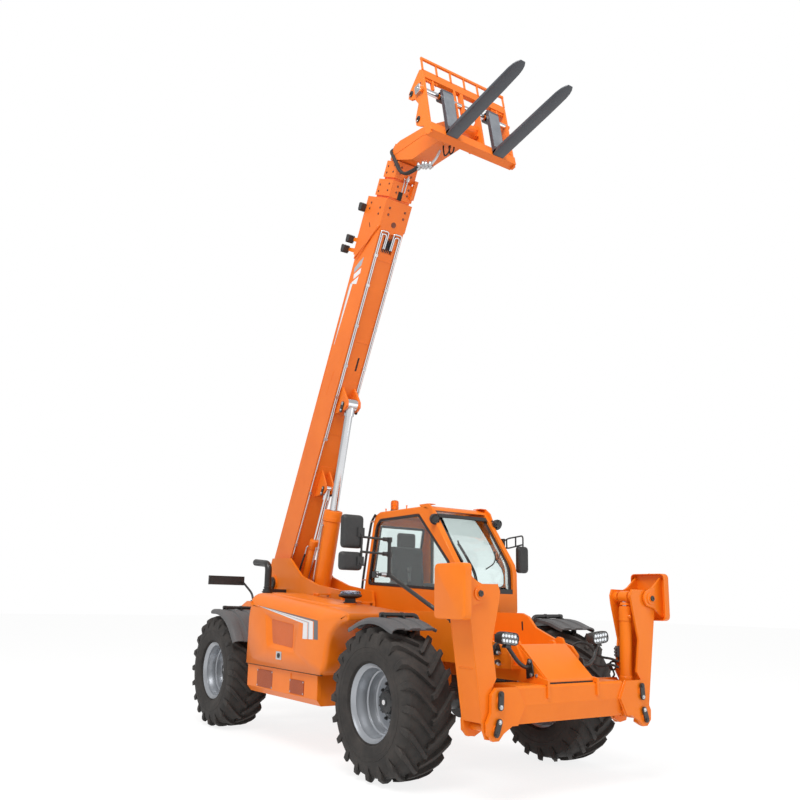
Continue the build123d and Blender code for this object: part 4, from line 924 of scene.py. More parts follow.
# work lamps on the outer section's upper right edge
piece, lenses, brackets = Piece(), Piece(), Piece()
side = -1
y = side * boom["lampY"]
for u, v0, v1, foot in ((5084, 318, 386, 213), (4666, 392, 540, 256), (4530, 424, 640, 264)):
    middleV = (v0 + v1) / 2
    outline = rounded([(u - 46, middleV - 38), (u + 40, middleV - 44), (u + 40, middleV + 44),
                       (u - 46, middleV + 38)], 14)
    piece.prism(boomPlane, outline, y - 42, y + 42)
    for fin in range(5):
        finV = middleV - 30 + fin * 15
        piece.prism(boomPlane, corners((u - 58, u - 44), (finV, finV + 4)), y - 38, y + 38)
    lenses.prism(boomPlane, corners((u + 39, u + 45), (middleV - 38, middleV + 38)), y - 36, y + 36, 2)
    brackets.prism(boomPlane, [(u - 30, foot - 26), (u + 34, foot - 30), (u + 20, middleV),
                               (u - 20, middleV)], side * 174, side * 184, 8)
    brackets.prism(boomPlane, corners((u - 20, u + 20), (middleV - 24, middleV - 14)), side * 176,
                   side * 216)
piece.finish("boomLamps", blackPlastic, "boom", "black_plastic", bevel=2)
lenses.finish("boomLampLenses", lampGlass, "boom", "window_glass", bevel=1)
brackets.finish("boomLampBrackets", machineOrange, "boom", "orange_paint", bevel=2)

# the levelling section's bracket, lug and slot on the second section
piece = Piece()
boomTube(piece, [(5350, -142, 30), (5560, -142, 30)], 9)
boomTube(piece, [(5350, -142, -10), (5480, -142, -10), (5520, -128, -10)], 7, 20)
piece.lathe([(22, 0), (22, 40), (14, 44)], boomPlane(5490, -142, 30) / mm,
            boomPlane(1, 0, 0) - boomPlane(0, 0, 0), sides=20)
piece.finish("secondFittings", zincSteel, "second_section", "rod_chrome", bevel=1)
# a dark slot: a thin black sheet of painted shade
piece = Piece()
piece.prism(boomPlane, corners((5250, 5350), (-137, -140)), -50, 14)
piece.finish("secondSlot", shadowBlack, "second_section", "black_paint")

# cylinders: collars, ports, pipes and hoses
def cylinderLine(base, eye):
    end = boomPlane(*eye, 0) / mm
    start = Vector((base[0], 0, base[1]))
    return start, (end - start).normalized()


liftStart, liftRun = cylinderLine((-1635, 900), liftEye)
levelStart, levelRun = cylinderLine((-2135, 1200), levelEye)
piece = Piece()
piece.lathe([(111, 1648), (120, 1656), (120, 1700), (117, 1704), (117, 1774), (112, 1786), (86, 1790),
             (84, 1781)],
            liftStart, liftRun, sides=56)
piece.lathe([(111, 80), (114, 84), (114, 120), (111, 124)], liftStart, liftRun, sides=56)
piece.finish("liftCollar", machineOrange, "lift_barrel", "orange_paint", smooth=30)
piece = Piece()
piece.lathe([(64, 1062), (67, 1068), (67, 1170), (60, 1182), (36, 1186)], levelStart, levelRun, sides=40)
piece.finish("levelCollar", machineOrange, "level_barrel", "orange_paint", smooth=30)
across = Vector((0, -1, 0))
piece = Piece()
foot = liftStart + liftRun * 240 + across * 108
top = liftStart + liftRun * 1590 + across * 108
piece.tube([foot, foot + across * 26, top + across * 26, top], 10, bend=22)
for place in (500, 900, 1300):
    at = liftStart + liftRun * place + across * 134
    piece.lathe([(15, -12), (15, 12)], at, liftRun, sides=12)
piece.finish("liftPipe", zincSteel, "lift_barrel", "rod_chrome", smooth=50)
piece = Piece()
side = levelRun.cross(across).normalized()
foot = levelStart + levelRun * 300 + side * 54
top = levelStart + levelRun * 1100 + side * 54
piece.tube([foot, foot + side * 20, top + side * 20, top], 8, bend=18)
port = levelStart + levelRun * 1090 + across * 52
piece.tube([port, port + across * 44, port + across * 46 - levelRun * 110], 9, bend=24)
piece.finish("levelPipe", zincSteel, "level_barrel", "rod_chrome", smooth=50)
piece = Piece()
port = port + across * 46 - levelRun * 108
piece.tube([port, port - levelRun * 190 + across * 22, port - levelRun * 430 + across * 8,
            levelStart + levelRun * 320 + across * 66, levelStart + levelRun * 250 + across * 40], 13,
           bend=120)
piece.finish("levelHose", hoseRubber, "level_barrel", "black_plastic", smooth=60)

# head: hose loop with fittings, wear plates and pins
piece = Piece()
for k, y in enumerate((-142, -168)):
    boomTube(piece, [(5850, 128 + k * 6, y * 0.6), (5795, 112, y), (5660, -96, y - 6), (5570, -215, y - 4),
                     (5532, -362, y), (5600, -500, y * 0.85), (5645, -545, y * 0.75)], 17, bend=130,
             sides=12)
piece.finish("headHoses", hoseRubber, "inner_section", "black_plastic", smooth=60)
piece = Piece()
for k, (u, v, y) in enumerate(((5649, -548, -112), (5672, -610, -92), (5668, -690, -104),
                               (5676, -752, -88))):
    at = boomPlane(u, v, y) / mm
    piece.lathe([(24, -24), (24, 24), (17, 30), (17, 44)], at, Vector((0.3, -0.5, 0.8)), sides=6)
    piece.lathe([(20, -40), (20, 10)], at + Vector((12, 8, -16)), Vector((0.9, 0.2, 0.3)), sides=16)
boomTube(piece, [(5646, -545, -127), (5664, -600, -100), (5672, -690, -98), (5680, -752, -90),
                 (5760, -800, -70), (5860, -800, -50)], 15, bend=60)
piece.finish("headFittings", zincSteel, "inner_section", "rod_chrome", bevel=1.5)
piece = Piece()
for route in ([(5990, -800, -40), (5870, -850, -44), (5790, -930, -50), (5830, -985, -46),
               (5915, -975, -40), (5990, -880, -38)],
              [(6010, -830, 10), (5910, -870, 12), (5830, -930, 14), (5860, -985, 12), (5935, -970, 10),
               (6005, -880, 8)]):
    boomTube(piece, route, 9, bend=90)
piece.finish("headLoops", hoseRubber, "inner_section", "black_plastic", smooth=60)
piece = Piece()
for side in (-1, 1):
    piece.prism(boomPlane, [(5740, 60), (5850, 60), (6040, -470), (6110, -980), (6060, -980), (5990, -500)],
                side * 149, side * 154, 30)
piece.finish("headPlates", boomOrange, "inner_section", "orange_paint", bevel=2)
print("boom ready")

# carriage: pins, locks, racks and the bright fork heels
piece = Piece()
for side in (-1, 1):
    piece.prism(forkPlane, corners((-150, -58), (556, 656)), side * 599, side * 632, 16)
    piece.lathe([(20, 0), (20, 8), (14, 10)], forkPlane(-104, 606, side * 630) / mm, (0, side, 0), sides=20)
piece.finish("shaftLocks", zincSteel, "fork_carriage", "rod_chrome", bevel=3)
piece, bolts = Piece(), Piece()
for side in (-1, 1):
    for (u, v), (du, dv) in (((-243, 663), (-26, -34)), ((-182, 267), (-20, -40))):
        piece.lathe([(34, 0), (34, 10), (26, 14), (12, 14), (11, 8), (0, 8)],
                    forkPlane(u, v, side * 598) / mm, (0, side, 0), sides=28)
        bolts.bolt(forkPlane(u + du * 0.6, v + dv * 0.6, side * 612) / mm, (0, side, 0), 9, 6)
    piece.lathe([(13, 0), (13, 2)], forkPlane(-74, 669, side * 599.5) / mm, (0, side, 0), sides=20)
piece.finish("carriageLocks", blackPaint, "fork_carriage", "black_paint", bevel=1)
bolts.finish("carriageLockBolts", zincSteel, "fork_carriage", "rod_chrome")
piece = Piece()
for side in (-1, 1):  # notched racks under the upper beam
    y = 566
    rack = [(y, 732), (y, 712)]
    while y > 398:
        rack += [(y, 712), (y - 9, 696), (y - 17, 696), (y - 26, 712)]
        y -= 30
    rack += [(y, 712), (y, 732)]
    piece.skin([[forkPlane(u, v, side * a) for a, v in rack] for u in (-58, -34)])
piece.prism(forkPlane, [(-70, 455), (-26, 455), (-22, 732), (-74, 732)], -80, -40)
for side in (-1, 1):
    piece.prism(forkPlane, corners((-68, -24), (600, 732)), side * 452, side * 470, 8)
piece.finish("carriageRacks", boomOrange, "fork_carriage", "orange_paint", bevel=1.5)
piece = Piece()
for low, high in ((-574, -404), (-248, -82), (-38, 248), (404, 574)):
    piece.lathe([(29.2, low), (29.2, high)], forkPlane(-48, 560, 0) / mm, (0, 1, 0), sides=32)
piece.finish("shaftSleeves", chromeRod, "fork_carriage", "rod_chrome", smooth=60)
piece = Piece()
for side in (-1, 1):
    piece.prism(forkPlane, [(-300, 200), (-150, 120), (-80, 100), (-80, 440), (-112, 470), (-180, 420)],
                side * 178, side * 190, 26)
piece.finish("carriageRibs", boomOrange, "fork_carriage", "orange_paint", bevel=2)

# forks: forged blades with tapered, rounded tips and lighter, part-metallic fronts
fork = {"places": (-326, 326)}


def makeFork(piece, centre):
    # stations along the blade: (along, underside, top, half width)
    stations = [(0, 0, 45, 75), (40, 0, 46, 75), (300, 3, 46, 75), (760, 12, 45, 75), (985, 20, 44, 74),
                (1045, 23, 43, 66), (1088, 26, 42, 52), (1112, 29, 41, 36), (1120, 31, 40, 30)]
    rings = []
    for u, low, high, half in stations:
        outline = rounded(corners((-half, half), (low, high)), 5, steps=2)
        rings.append([forkPlane(u, v, centre + y) for y, v in outline])
    piece.skin(rings)
    piece.prism(forkPlane, [(0, 0), (60, 20), (60, 60), (46, 78), (44, 560), (34, 600), (0, 600)],
                centre - 75, centre + 75)
    piece.prism(forkPlane, [(-48, 504), (8, 504), (8, 600), (-48, 614)], centre - 55, centre + 55)
    piece.lathe([(56, -55), (56, 55)], forkPlane(-48, 560, centre) / mm, (0, 1, 0), sides=32)


piece = Piece()
for centre in fork["places"]:
    makeFork(piece, centre)
piece.finish("forkBlades", forkSlate, "fork_carriage", "fork_steel", bevel=3, replaces=["forks"], smooth=30)
piece = Piece()
for centre in fork["places"]:
    piece.prism(forkPlane, corners((43, 46.5), (84, 556)), centre - 71, centre + 71)
piece.finish("forkFaces", forkBright, "fork_carriage", "fork_steel", bevel=1)
print("carriage ready")

# front: lock plates, pads with folded rims, lamps, slots, hoses and the junction block
front = {"padX": (2508, 2888), "padZ": (1390, 1820), "padPin": (1026.3, 1590), "padCorner": 46,
         "face": 2848, "lockThick": 14, "lockHalf": 26, "lampX": 2605, "noseSide": 302.3,
         "stayX": 2678, "stay": ((828, 785), (860, 1600))}


def oblong(a, b, half, steps=8):
    # an outline with round ends about two points
    a, b = Vector(a), Vector(b)
    along = (b - a).normalized()
    outline = []
    for centre, start in ((a, atan2(along.y, along.x) + pi / 2), (b, atan2(along.y, along.x) - pi / 2)):
        for step in range(steps + 1):
            turn = start + pi * step / steps
            outline.append((centre.x + half * cos(turn), centre.y + half * sin(turn)))
    return outline


def lockPlate(plates, bolts, pin, far, side, body):
    x = front["face"]
    half = front["lockHalf"]
    plates.prism(crossPlane, oblong((side * pin[0], pin[1]), (side * far[0], far[1]), half), x,
                 x + front["lockThick"])
    x += front["lockThick"]
    plates.lathe([(17, 0), (17, 5), (14, 7)], (x, side * pin[0], pin[1]), (1, 0, 0), sides=24)
    bolts.bolt((x, side * far[0], far[1]), (1, 0, 0), 13, 10, 18)


for side, hand in sides:
    plates, bolts = Piece(), Piece()
    lockPlate(plates, bolts, (828, 832), (833, 738), side, "root")
    lockPlate(plates, bolts, (876, 545), (846, 630), side, "root")
    plates.finish(f"beamLocks.{hand}", blackPaint, "root", "black_paint", bevel=2)
    bolts.finish(f"beamLockBolts.{hand}", zincSteel, "root", "rod_chrome", bevel=1)
    # weld beads round the cheeks and along the arm
    piece = Piece()
    piece.tube([(2818, side * 640, 880), (2818, side * 560, 735), (2818, side * 640, 592)], 7, sides=8)
    piece.finish(f"cheekWelds.{hand}", machineOrange, "root", "orange_paint")

    # pad: a face with a folded rim and two gussets on the arm's head pin
    piece = Piece()
    outline = rounded(corners(front["padX"], front["padZ"]), front["padCorner"], steps=6)
    middle = Vector((sum(front["padX"]) / 2, sum(front["padZ"]) / 2))

    def ring(inset, y):
        return [sidePlane(*(middle + (Vector(p) - middle) * (1 - inset / 200)), side * y) for p in outline]
    piece.skin([ring(2, 1150), ring(0, 1152), ring(0, 1210), ring(2.5, 1219), ring(8, 1222)], caps=False)
    piece.cap(ring(8, 1222))
    piece.skin([ring(2, 1150), ring(7, 1150), ring(7, 1198)], caps=False)
    piece.cap(ring(7, 1198))
    bmesh.ops.remove_doubles(piece.bm, verts=piece.bm.verts, dist=1e-5)
    gusset = rounded([(1199, 1410), (1199, 1800), (1060, 1690), (960, 1650), (930, 1590), (962, 1526),
                      (1080, 1500)], 26)
    for x in (2529, 2811):
        piece.prism(crossPlane, [(side * y, z) for y, z in gusset], x, x + 20)
    for x0, x1 in ((2514, 2548), (2812, 2842)):
        piece.lathe([(52, x0), (55, x0 + 3), (55, x1 - 3), (52, x1)],
                    (0, side * front["padPin"][0], front["padPin"][1]), (1, 0, 0), sides=36)
    piece.lathe([(8, 0), (8, 3)], (2698, side * 1188, 1821), (0, 0, 1), sides=16)
    piece.finish(f"padShell.{hand}", machineOrange, f"pad_{hand}", "orange_paint", bevel=2.5, smooth=30,
                 replaces=[f"stabiliser_pad_{hand}"])
    piece = Piece()
    piece.lathe([(27, 0), (27, 10), (22, 12), (12, 12), (10, 7), (0, 7)],
                (2845, side * front["padPin"][0], front["padPin"][1]), (1, 0, 0), sides=6)
    piece.finish(f"padPinCap.{hand}", blackPaint, f"arm_{hand}", "black_paint", bevel=1)

    # arm: rolled corner edges and the stay's port
    piece = Piece()
    plane = armPlane(side)
    for x in (2562, 2794):
        piece.tube([plane(90, 60, x) / mm, plane(90, 880, x) / mm], 8, sides=12)
    piece.tube([plane(95, 470, 2600) / mm, plane(95, 470, 2756) / mm], 5, sides=8)
    piece.finish(f"armEdges.{hand}", machineOrange, f"arm_{hand}", "orange_paint")
    stayStart, stayEnd = (Vector((front["stayX"], side * y, z)) for y, z in front["stay"])
    stayRun = (stayEnd - stayStart).normalized()
    piece = Piece()
    piece.lathe([(56, 596), (60, 600), (60, 700), (58, 724), (44, 732), (31.5, 734), (31.5, 726)],
                stayStart, stayRun)
    piece.lathe([(56, 60), (60, 66), (60, 110), (56, 116)], stayStart, stayRun)
    port = stayStart + stayRun * 640 + Vector((56, -side * 22, 0))
    piece.lathe([(15, -6), (15, 20), (10, 24)], port, Vector((1, -side * 0.4, 0)), sides=6)
    piece.finish(f"stayCollar.{hand}", machineOrange, f"stay_barrel_{hand}", "orange_paint", smooth=32)
    piece = Piece()
    piece.lathe([(46, -50), (52, -46), (52, 46), (46, 50)], stayEnd, (1, 0, 0), sides=36)
    piece.lathe([(52, -66), (44, -40), (32, -62)], stayEnd - stayRun * 10, stayRun, sides=32)
    piece.finish(f"stayEye.{hand}", machineOrange, f"stay_rod_{hand}", "orange_paint", smooth=32)

# nose: dark slots drawn as thin black sheets of painted shade, the cover's lip and its lifting eyes
piece = Piece()
piece.block((2794, 2797), (-262, 262), (882, 893))
piece.prism(sidePlane, oblong((1826, 1276), (1822, 1344), 9), 378, 380.6)
for y0, y1 in ((-412.5, -409), (409, 412.5)):
    piece.prism(sidePlane, [(2246, 1052), (2292, 1052), (2270, 1142), (2224, 1142)], y0, y1, 6)
piece.finish("noseSlots", shadowBlack, "root", "black_paint")
piece = Piece()
cover = [(2250, 1142), (2468, 1180), (2492, 1176), (2792, 922), (2797, 910), (2797, 894), (2790, 894),
         (2786, 908), (2480, 1164), (2250, 1128)]
piece.prism(sidePlane, cover, -270, 270)
for side in (-1, 1):
    piece.prism(sidePlane, [(2330, 1140), (2440, 1140), (2410, 1206), (2360, 1206)], side * 196, side * 222,
                22)
piece.finish("noseCover", machineOrange, "root", "orange_paint", bevel=4)
piece = Piece()
for side in (-1, 1):
    for x, z in ((2262, 1168), (2700, 940)):
        piece.bolt((x, side * 302, z), (0, side, 0), 11, 8, 16)
piece.bolt((2236, -410, 1160), (0, -1, 0), 9, 7, 13)
piece.finish("noseBolts", zincSteel, "root", "rod_chrome")

# work lamps on their bent tubes
for side, hand in sides:
    housing, leds, lens, stand, bolts = Piece(), Piece(), Piece(), Piece(), Piece()
    centre = Vector((front["lampX"], side * 545, 1237))
    tilt = radians(6)
    outline = rounded(corners((-98, 98), (-50, 50)), 48, steps=7)

    def lampRing(scale, x):
        return [(centre + Vector((x, side * (p[0] * cos(tilt) - p[1] * sin(tilt)) * scale,
                                  (p[0] * sin(tilt) + p[1] * cos(tilt)) * scale))) * mm for p in outline]
    housing.skin([lampRing(0.62, -52), lampRing(0.9, -40), lampRing(1.0, -14), lampRing(1.04, 4),
                  lampRing(1.04, 44), lampRing(0.99, 50), lampRing(0.94, 50), lampRing(0.92, 40)])
    for fin in range(-4, 5):
        housing.block((centre.x - 62, centre.x - 30), (centre.y + fin * 18 - 2, centre.y + fin * 18 + 2),
                      (centre.z - 34, centre.z + 34))
    lens.skin([lampRing(0.92, 43), lampRing(0.92, 47)])
    for row in (-1, 1):
        for column in range(-2, 3):
            y, z = column * 33 + row * 6, row * 20
            spot = centre + Vector((40, side * (y * cos(tilt) - z * sin(tilt)),
                                    y * sin(tilt) + z * cos(tilt)))
            leds.lathe([(13, 0), (12, 2.4), (5, 3)], spot, (1, 0, 0), sides=16)
    foot = side * front["noseSide"]
    stand.prism(sidePlane, [(2595, 906), (2680, 936), (2652, 1066), (2612, 1076), (2590, 1010)], foot,
                foot + side * 12, 14)
    stand.tube([(2628, foot + side * 8, 1006), (2646, foot + side * 80, 1006), (2640, side * 452, 1052),
                (centre.x + 4, centre.y - side * 8, centre.z - 62)], 17, bend=46, sides=16)
    stand.prism(crossPlane, [(centre.y - 34, centre.z - 74), (centre.y + 34, centre.z - 74),
                             (centre.y + 22, centre.z - 44), (centre.y - 22, centre.z - 44)], centre.x - 20,
                centre.x + 28)
    for x, z in ((2634, 1050), (2652, 944)):
        bolts.bolt((x, foot + side * 12, z), (0, side, 0), 12, 9, 17)
    housing.finish(f"noseLampBody.{hand}", blackPlastic, "root", "black_plastic", bevel=1.5)
    leds.finish(f"noseLampLeds.{hand}", ledWhite, "root", "rim_grey")
    lens.finish(f"noseLampLens.{hand}", lampGlass, "root", "window_glass")
    stand.finish(f"noseLampStand.{hand}", blackPaint, "root", "black_paint", bevel=1.5)
    bolts.finish(f"noseLampBolts.{hand}", zincSteel, "root", "rod_chrome")

# hoses from the frame to the stays, held at both ends
piece, fittings = Piece(), Piece()
for side in (-1, 1):
    for start, rise in ((1150, 40), (1060, -10)):
        piece.tube([(2380, side * 412, start - 40), (2420, side * 470, start + rise),
                    (2480, side * 560, start + rise - 10), (2520, side * 660, start - 90),
                    (2600, side * 730, 1010 + rise), (2650, side * 775, 985 + rise)], 11,
                   bend=70, sides=12)
        fittings.lathe([(18, 0), (18, 26), (13, 30), (13, 46)], (2378, side * 410, start - 44),
                       (0.3, side, 0.15), sides=6)
piece.finish("stayHoses", hoseRubber, "root", "black_plastic", smooth=60)
fittings.finish("stayHoseFittings", zincSteel, "root", "rod_chrome", bevel=1)
piece = Piece()
piece.block((2560, 2590), (832, 916), (1056, 1158))
piece.block((2588, 2598), (842, 906), (1066, 1148))
for k in range(3):
    piece.lathe([(13, 0), (13, 18), (9, 20)], (2575, 832, 1078 + k * 28), (0, -1, 0), sides=14)
piece.finish("junctionBlock", castAlloy, "root", "black_plastic", bevel=3)
piece = Piece()
coil = [(2575 + 6 * cos(t * 0.9), 780 + 40 * cos(t),
         985 + 40 * sin(t)) for t in (k * pi / 6 for k in range(4, 18))]
piece.tube([(2575, 868, 1058), (2578, 858, 1020)] + coil + [(2576, 800, 905), (2570, 780, 884)], 8, bend=20,
           sides=10)
piece.finish("junctionCoil", hoseRubber, "root", "black_plastic", smooth=60)
print("front ready")

# cab: softened shell, glass with gaskets, wipers, lamps, beacon and mirrors
cab = {"right": 280, "left": 1150, "glass": 6, "gasket": 26, "soften": 16, "beaconAt": (-560, 500, 2590),
       "mirrorX": 1465, "mirrorY": -947, "middle": 715, "bow": 20, "bowHalf": 364}


def bowAt(y):
    # how far the screen bows ahead of its edges
    return cab["bow"] * (1 - ((y - cab["middle"]) / cab["bowHalf"]) ** 2)


def insetOutline(outline, amount):
    # the outline moved inward; it runs counter-clockwise or clockwise alike
    points = [Vector(p) for p in outline]
    area = sum(a.x * b.y - b.x * a.y for a, b in zip(points, points[1:] + points[:1]))
    turn = 1 if area > 0 else -1
    moved = []
    for i, here in enumerate(points):
        before = (here - points[i - 1]).normalized()
        after = (points[(i + 1) % len(points)] - here).normalized()
        normals = Vector((-before.y, before.x)) * turn, Vector((-after.y, after.x)) * turn
        scale = amount / (1 + normals[0].dot(normals[1]))
        moved.append(tuple(here + (normals[0] + normals[1]) * scale))
    return moved


def border(piece, plane, outline, out, into, low, high, radius=0):
    # a frame between the outline moved outward and the outline moved inward
    outer, inner = insetOutline(outline, -out), insetOutline(outline, into)
    if radius:
        outer, inner = rounded(outer, radius), rounded(inner, max(radius - into, 6))
    piece.skin([[plane(*p, low) for p in outer], [plane(*p, high) for p in outer],
                [plane(*p, high) for p in inner], [plane(*p, low) for p in inner],
                [plane(*p, low) for p in outer]], caps=False)
    bmesh.ops.remove_doubles(piece.bm, verts=piece.bm.verts, dist=1e-7)


def softCopy(node, name, material, body, width, chosen):
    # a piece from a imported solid's own mesh with its chosen long edges rounded
    mesh = nodes[node].data.copy()
    mesh.name = name
    bm = bmesh.new()
    bm.from_mesh(mesh)
    bm.transform(nodes[node].matrix_world)
    bmesh.ops.remove_doubles(bm, verts=bm.verts, dist=1e-5)
    bmesh.ops.dissolve_limit(bm, angle_limit=radians(0.6), verts=bm.verts, edges=bm.edges)
    weights = bm.edges.layers.float.new("bevel_weight_edge")
    for edge in bm.edges:
        middle = (edge.verts[0].co + edge.verts[1].co) / 2 / mm
        if len(edge.link_faces) == 2 and edge.calc_face_angle(0) > radians(12) and chosen(middle):
            edge[weights] = 1.0
        edge.smooth = edge.calc_face_angle(0) < radians(35)
    for face in bm.faces:
        face.smooth = True
    bm.to_mesh(mesh)
    bm.free()
    mesh.materials.clear()
    mesh.materials.append(material)
    obj = addObject(name, mesh)
    rounding = obj.modifiers.new("edges", "BEVEL")
    rounding.limit_method, rounding.width, rounding.segments = "WEIGHT", width * mm, 4
    rounding.use_clamp_overlap, rounding.harden_normals = False, True
    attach(obj, body)
    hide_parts(node)
    return obj


def cabEdge(p):
    return abs(p.y - cab["right"]) < 1 or (abs(p.y - cab["left"]) < 1 and p.z > 1131 and p.x > -730)


softCopy("cab_frame", "cabShell", machineOrange, "root", cab["soften"], cabEdge)

windowLine = [(-790, 1715), (-640, 2420), (-560, 2500), (245, 2505), (805, 1950), (845, 1850), (850, 1640)]
doorWindow = [(-620, 1700), (-620, 2400), (-590, 2430), (210, 2435), (730, 1920), (765, 1840), (770, 1640)]
screenLine = [(906, 1622), (904, 1800), (893, 1900), (858, 1962), (458, 2493)]
piece = Piece()
piece.prism(sidePlane, windowLine, 300, 306, 60)
piece.finish("rightGlass", cabGlass, "root", "window_glass")
piece = Piece()
rows = []
for x, z, _ in softLine([(a, b, 90, 0) for a, b in screenLine]):
    rows.append([(x + bowAt(y), y, z) for y in range(351, 1080, 91)])
piece.skin([[Vector(p) * mm for p in row] for row in rows], caps=False, around=False)
screen = piece.finish("windscreen", cabGlass, "root", "window_glass", smooth=60)
skin = screen.modifiers.new("pane", "SOLIDIFY")
skin.thickness, skin.offset = cab["glass"] * mm, 0
piece = Piece()
rearPane = [(-846, 371, 1716), (-846, 1059, 1716), (-694, 1059, 2438), (-694, 371, 2438)]
piece.skin([[Vector((x + thick, y, z)) * mm for x, y, z in rearPane] for thick in (0, cab["glass"])])
piece.prism(topPlane, corners((-449, 259), (391, 1039)), 2560, 2566, 30)
piece.finish("rearAndRoofGlass", cabGlass, "root", "window_glass", replaces=["cab_glass"])

for name, body, outline, low, high, radius in (("rightGasket", "root", windowLine, 277.5, 310, 64),
                                               ("doorGasket", "door", doorWindow, 1120, 1152.5, 40)):
    piece = Piece()
    border(piece, sidePlane, outline, 3, cab["gasket"], low, high, radius=radius)
    piece.finish(name, gasketBlack, body, "black_plastic", bevel=2)
piece = Piece()
border(piece, crossPlane, [(370, 1715), (370, 2440), (1060, 2440), (1060, 1715)], -2, 30, 0, 14, radius=40)
for vertex in piece.bm.verts:  # laid onto the sloping rear wall
    z = vertex.co.z / mm
    vertex.co.x += (-862 + (z - 1620) * 185 / 850) * mm
piece.finish("rearGasket", gasketBlack, "root", "black_plastic", bevel=2)
piece = Piece()
edge = [(p[0], p[1]) for p in softLine([(a, b, 90, 0) for a, b in screenLine])]
for y0, y1 in ((346, 392), (1038, 1084)):
    line = [(x + 9, z) for x, z in edge] + [(x - 4, z) for x, z in edge[::-1]]
    piece.prism(sidePlane, line, y0, y1)
for (x0, z0), (x1, z1) in (((905, 1620), (905, 1672)), ((492, 2450), (458, 2495))):
    across = Vector((z1 - z0, x0 - x1)).normalized() * 9
    piece.prism(sidePlane, [(x0 - 4, z0), (x0 + across.x + 24, z0 + across.y),
                            (x1 + across.x + 24, z1 + across.y), (x1 - 4, z1)], 350, 1080)
piece.finish("screenBorder", gasketBlack, "root", "black_plastic", bevel=2)

# wipers along the screen's right and left edges
def screenPoint(y, z, lift=16):
    for (x0, z0), (x1, z1) in zip(screenLine, screenLine[1:]):
        if z <= z1:
            break
    t = (z - z0) / (z1 - z0)
    run = Vector((x1 - x0, z1 - z0)).normalized()
    return (x0 + (x1 - x0) * t + run.y * lift + bowAt(y), y, z - run.x * lift)


piece = Piece()
piece.lathe([(52, 0), (48, 30), (34, 60), (24, 66), (0, 66)], (930, 470, 1560), (0.6, -0.2, 0.75), sides=28)
piece.tube([(960, 462, 1600), screenPoint(560, 1700, 40), screenPoint(520, 1850, 40),
            screenPoint(470, 2010, 34), screenPoint(452, 2150, 30), screenPoint(470, 2172, 20)], 9, bend=60,
           sides=10)
piece.tube([(968, 452, 1600), screenPoint(540, 1690, 44), screenPoint(495, 1850, 44),
            screenPoint(448, 2010, 36), screenPoint(436, 2130, 30)], 7, bend=60, sides=10)
blade = [screenPoint(350 + (z - 2380) * -0.11, z, 22) for z in (1940, 2040, 2140, 2240, 2380)]
piece.tube(blade, 11, sides=8)
piece.tube([(p[0] - 9, p[1], p[2] - 8) for p in blade], 6, sides=8)
piece.tube([screenPoint(1062, 2110, 24), screenPoint(980, 2030, 26), screenPoint(884, 1950, 22)], 6,
           bend=40, sides=8)
piece.tube([screenPoint(950, 2080, 14), screenPoint(870, 1950, 14), screenPoint(700, 1880, 14)], 7,
           bend=120, sides=8)
piece.finish("wipers", blackPaint, "root", "black_paint", bevel=1, smooth=50)

# roof: front corner brackets with their lamps, pegs and the beacon
brackets, lampBodies, lampFaces, bolts = Piece(), Piece(), Piece(), Piece()
for side, y0 in ((-1, 292), (1, 1138)):
    outline = rounded([(270, 2590), (250, 2612), (420, 2612), (500, 2552), (540, 2470), (500, 2452),
                       (440, 2540)], 10)
    brackets.prism(sidePlane, outline, y0 - 12, y0 + 12)
    brackets.block((300, 430), (min(y0, y0 - side * 90), max(y0, y0 - side * 90)), (2604, 2612))
    bolts.bolt((330, y0 - side * 50, 2612), (0, 0, 1), 11, 8, 17)
    at = Vector((590, y0 + side * 36, 2418))
    axis = Vector((0.93, 0, -0.36))
    lampBodies.lathe([(20, -62), (46, -50), (60, -20), (62, 6), (58, 8), (54, 2)], at, axis, sides=28)
    lampBodies.tube([(520, y0, 2470), (548, y0 + side * 20, 2452), tuple(at - axis * 50)], 11, bend=12)
    lampFaces.lathe([(54, 2), (50, 9), (0, 12)], at, axis, sides=28)
brackets.finish("roofBrackets", machineOrange, "root", "orange_paint", bevel=3)
lampBodies.finish("roofLampBodies", blackPlastic, "root", "black_plastic", bevel=1)
lampFaces.finish("roofLampFaces", lampGlass, "root", "window_glass")
for x, y in ((-30, 306), (-60, 1124), (-500, 330), (-500, 1100)):
    bolts.lathe([(7, 0), (7, 30), (11, 32), (11, 38), (7, 42)], (x, y, 2588), (0, 0, 1), sides=12)
bolts.finish("roofPegs", machineOrange, "root", "orange_paint", bevel=1)
piece = Piece()
at = cab["beaconAt"]
piece.lathe([(60, 0), (60, 20), (54, 30), (50, 40), (49, 42)], at, (0, 0, 1))
piece.finish("beaconBase", blackPlastic, "root", "black_plastic", bevel=1.5)
piece = Piece()
lens = [(49, 38), (50, 46), (47, 50), (50, 56), (50, 84), (47, 88), (50, 94), (49, 140), (40, 156),
        (20, 163), (0, 164)]
piece.lathe(lens + [(0, 160), (38, 152), (44, 138), (44, 38)], at, (0, 0, 1), sides=48, close=True)
piece.finish("beaconLens", amberLens, "root", "amber_lamp", smooth=25)
piece = Piece()
piece.lathe([(16, 40), (16, 100), (24, 104), (24, 130), (14, 138)], at, (0, 0, 1), sides=24)
piece.finish("beaconLamp", ledAmber, "root", "amber_lamp")

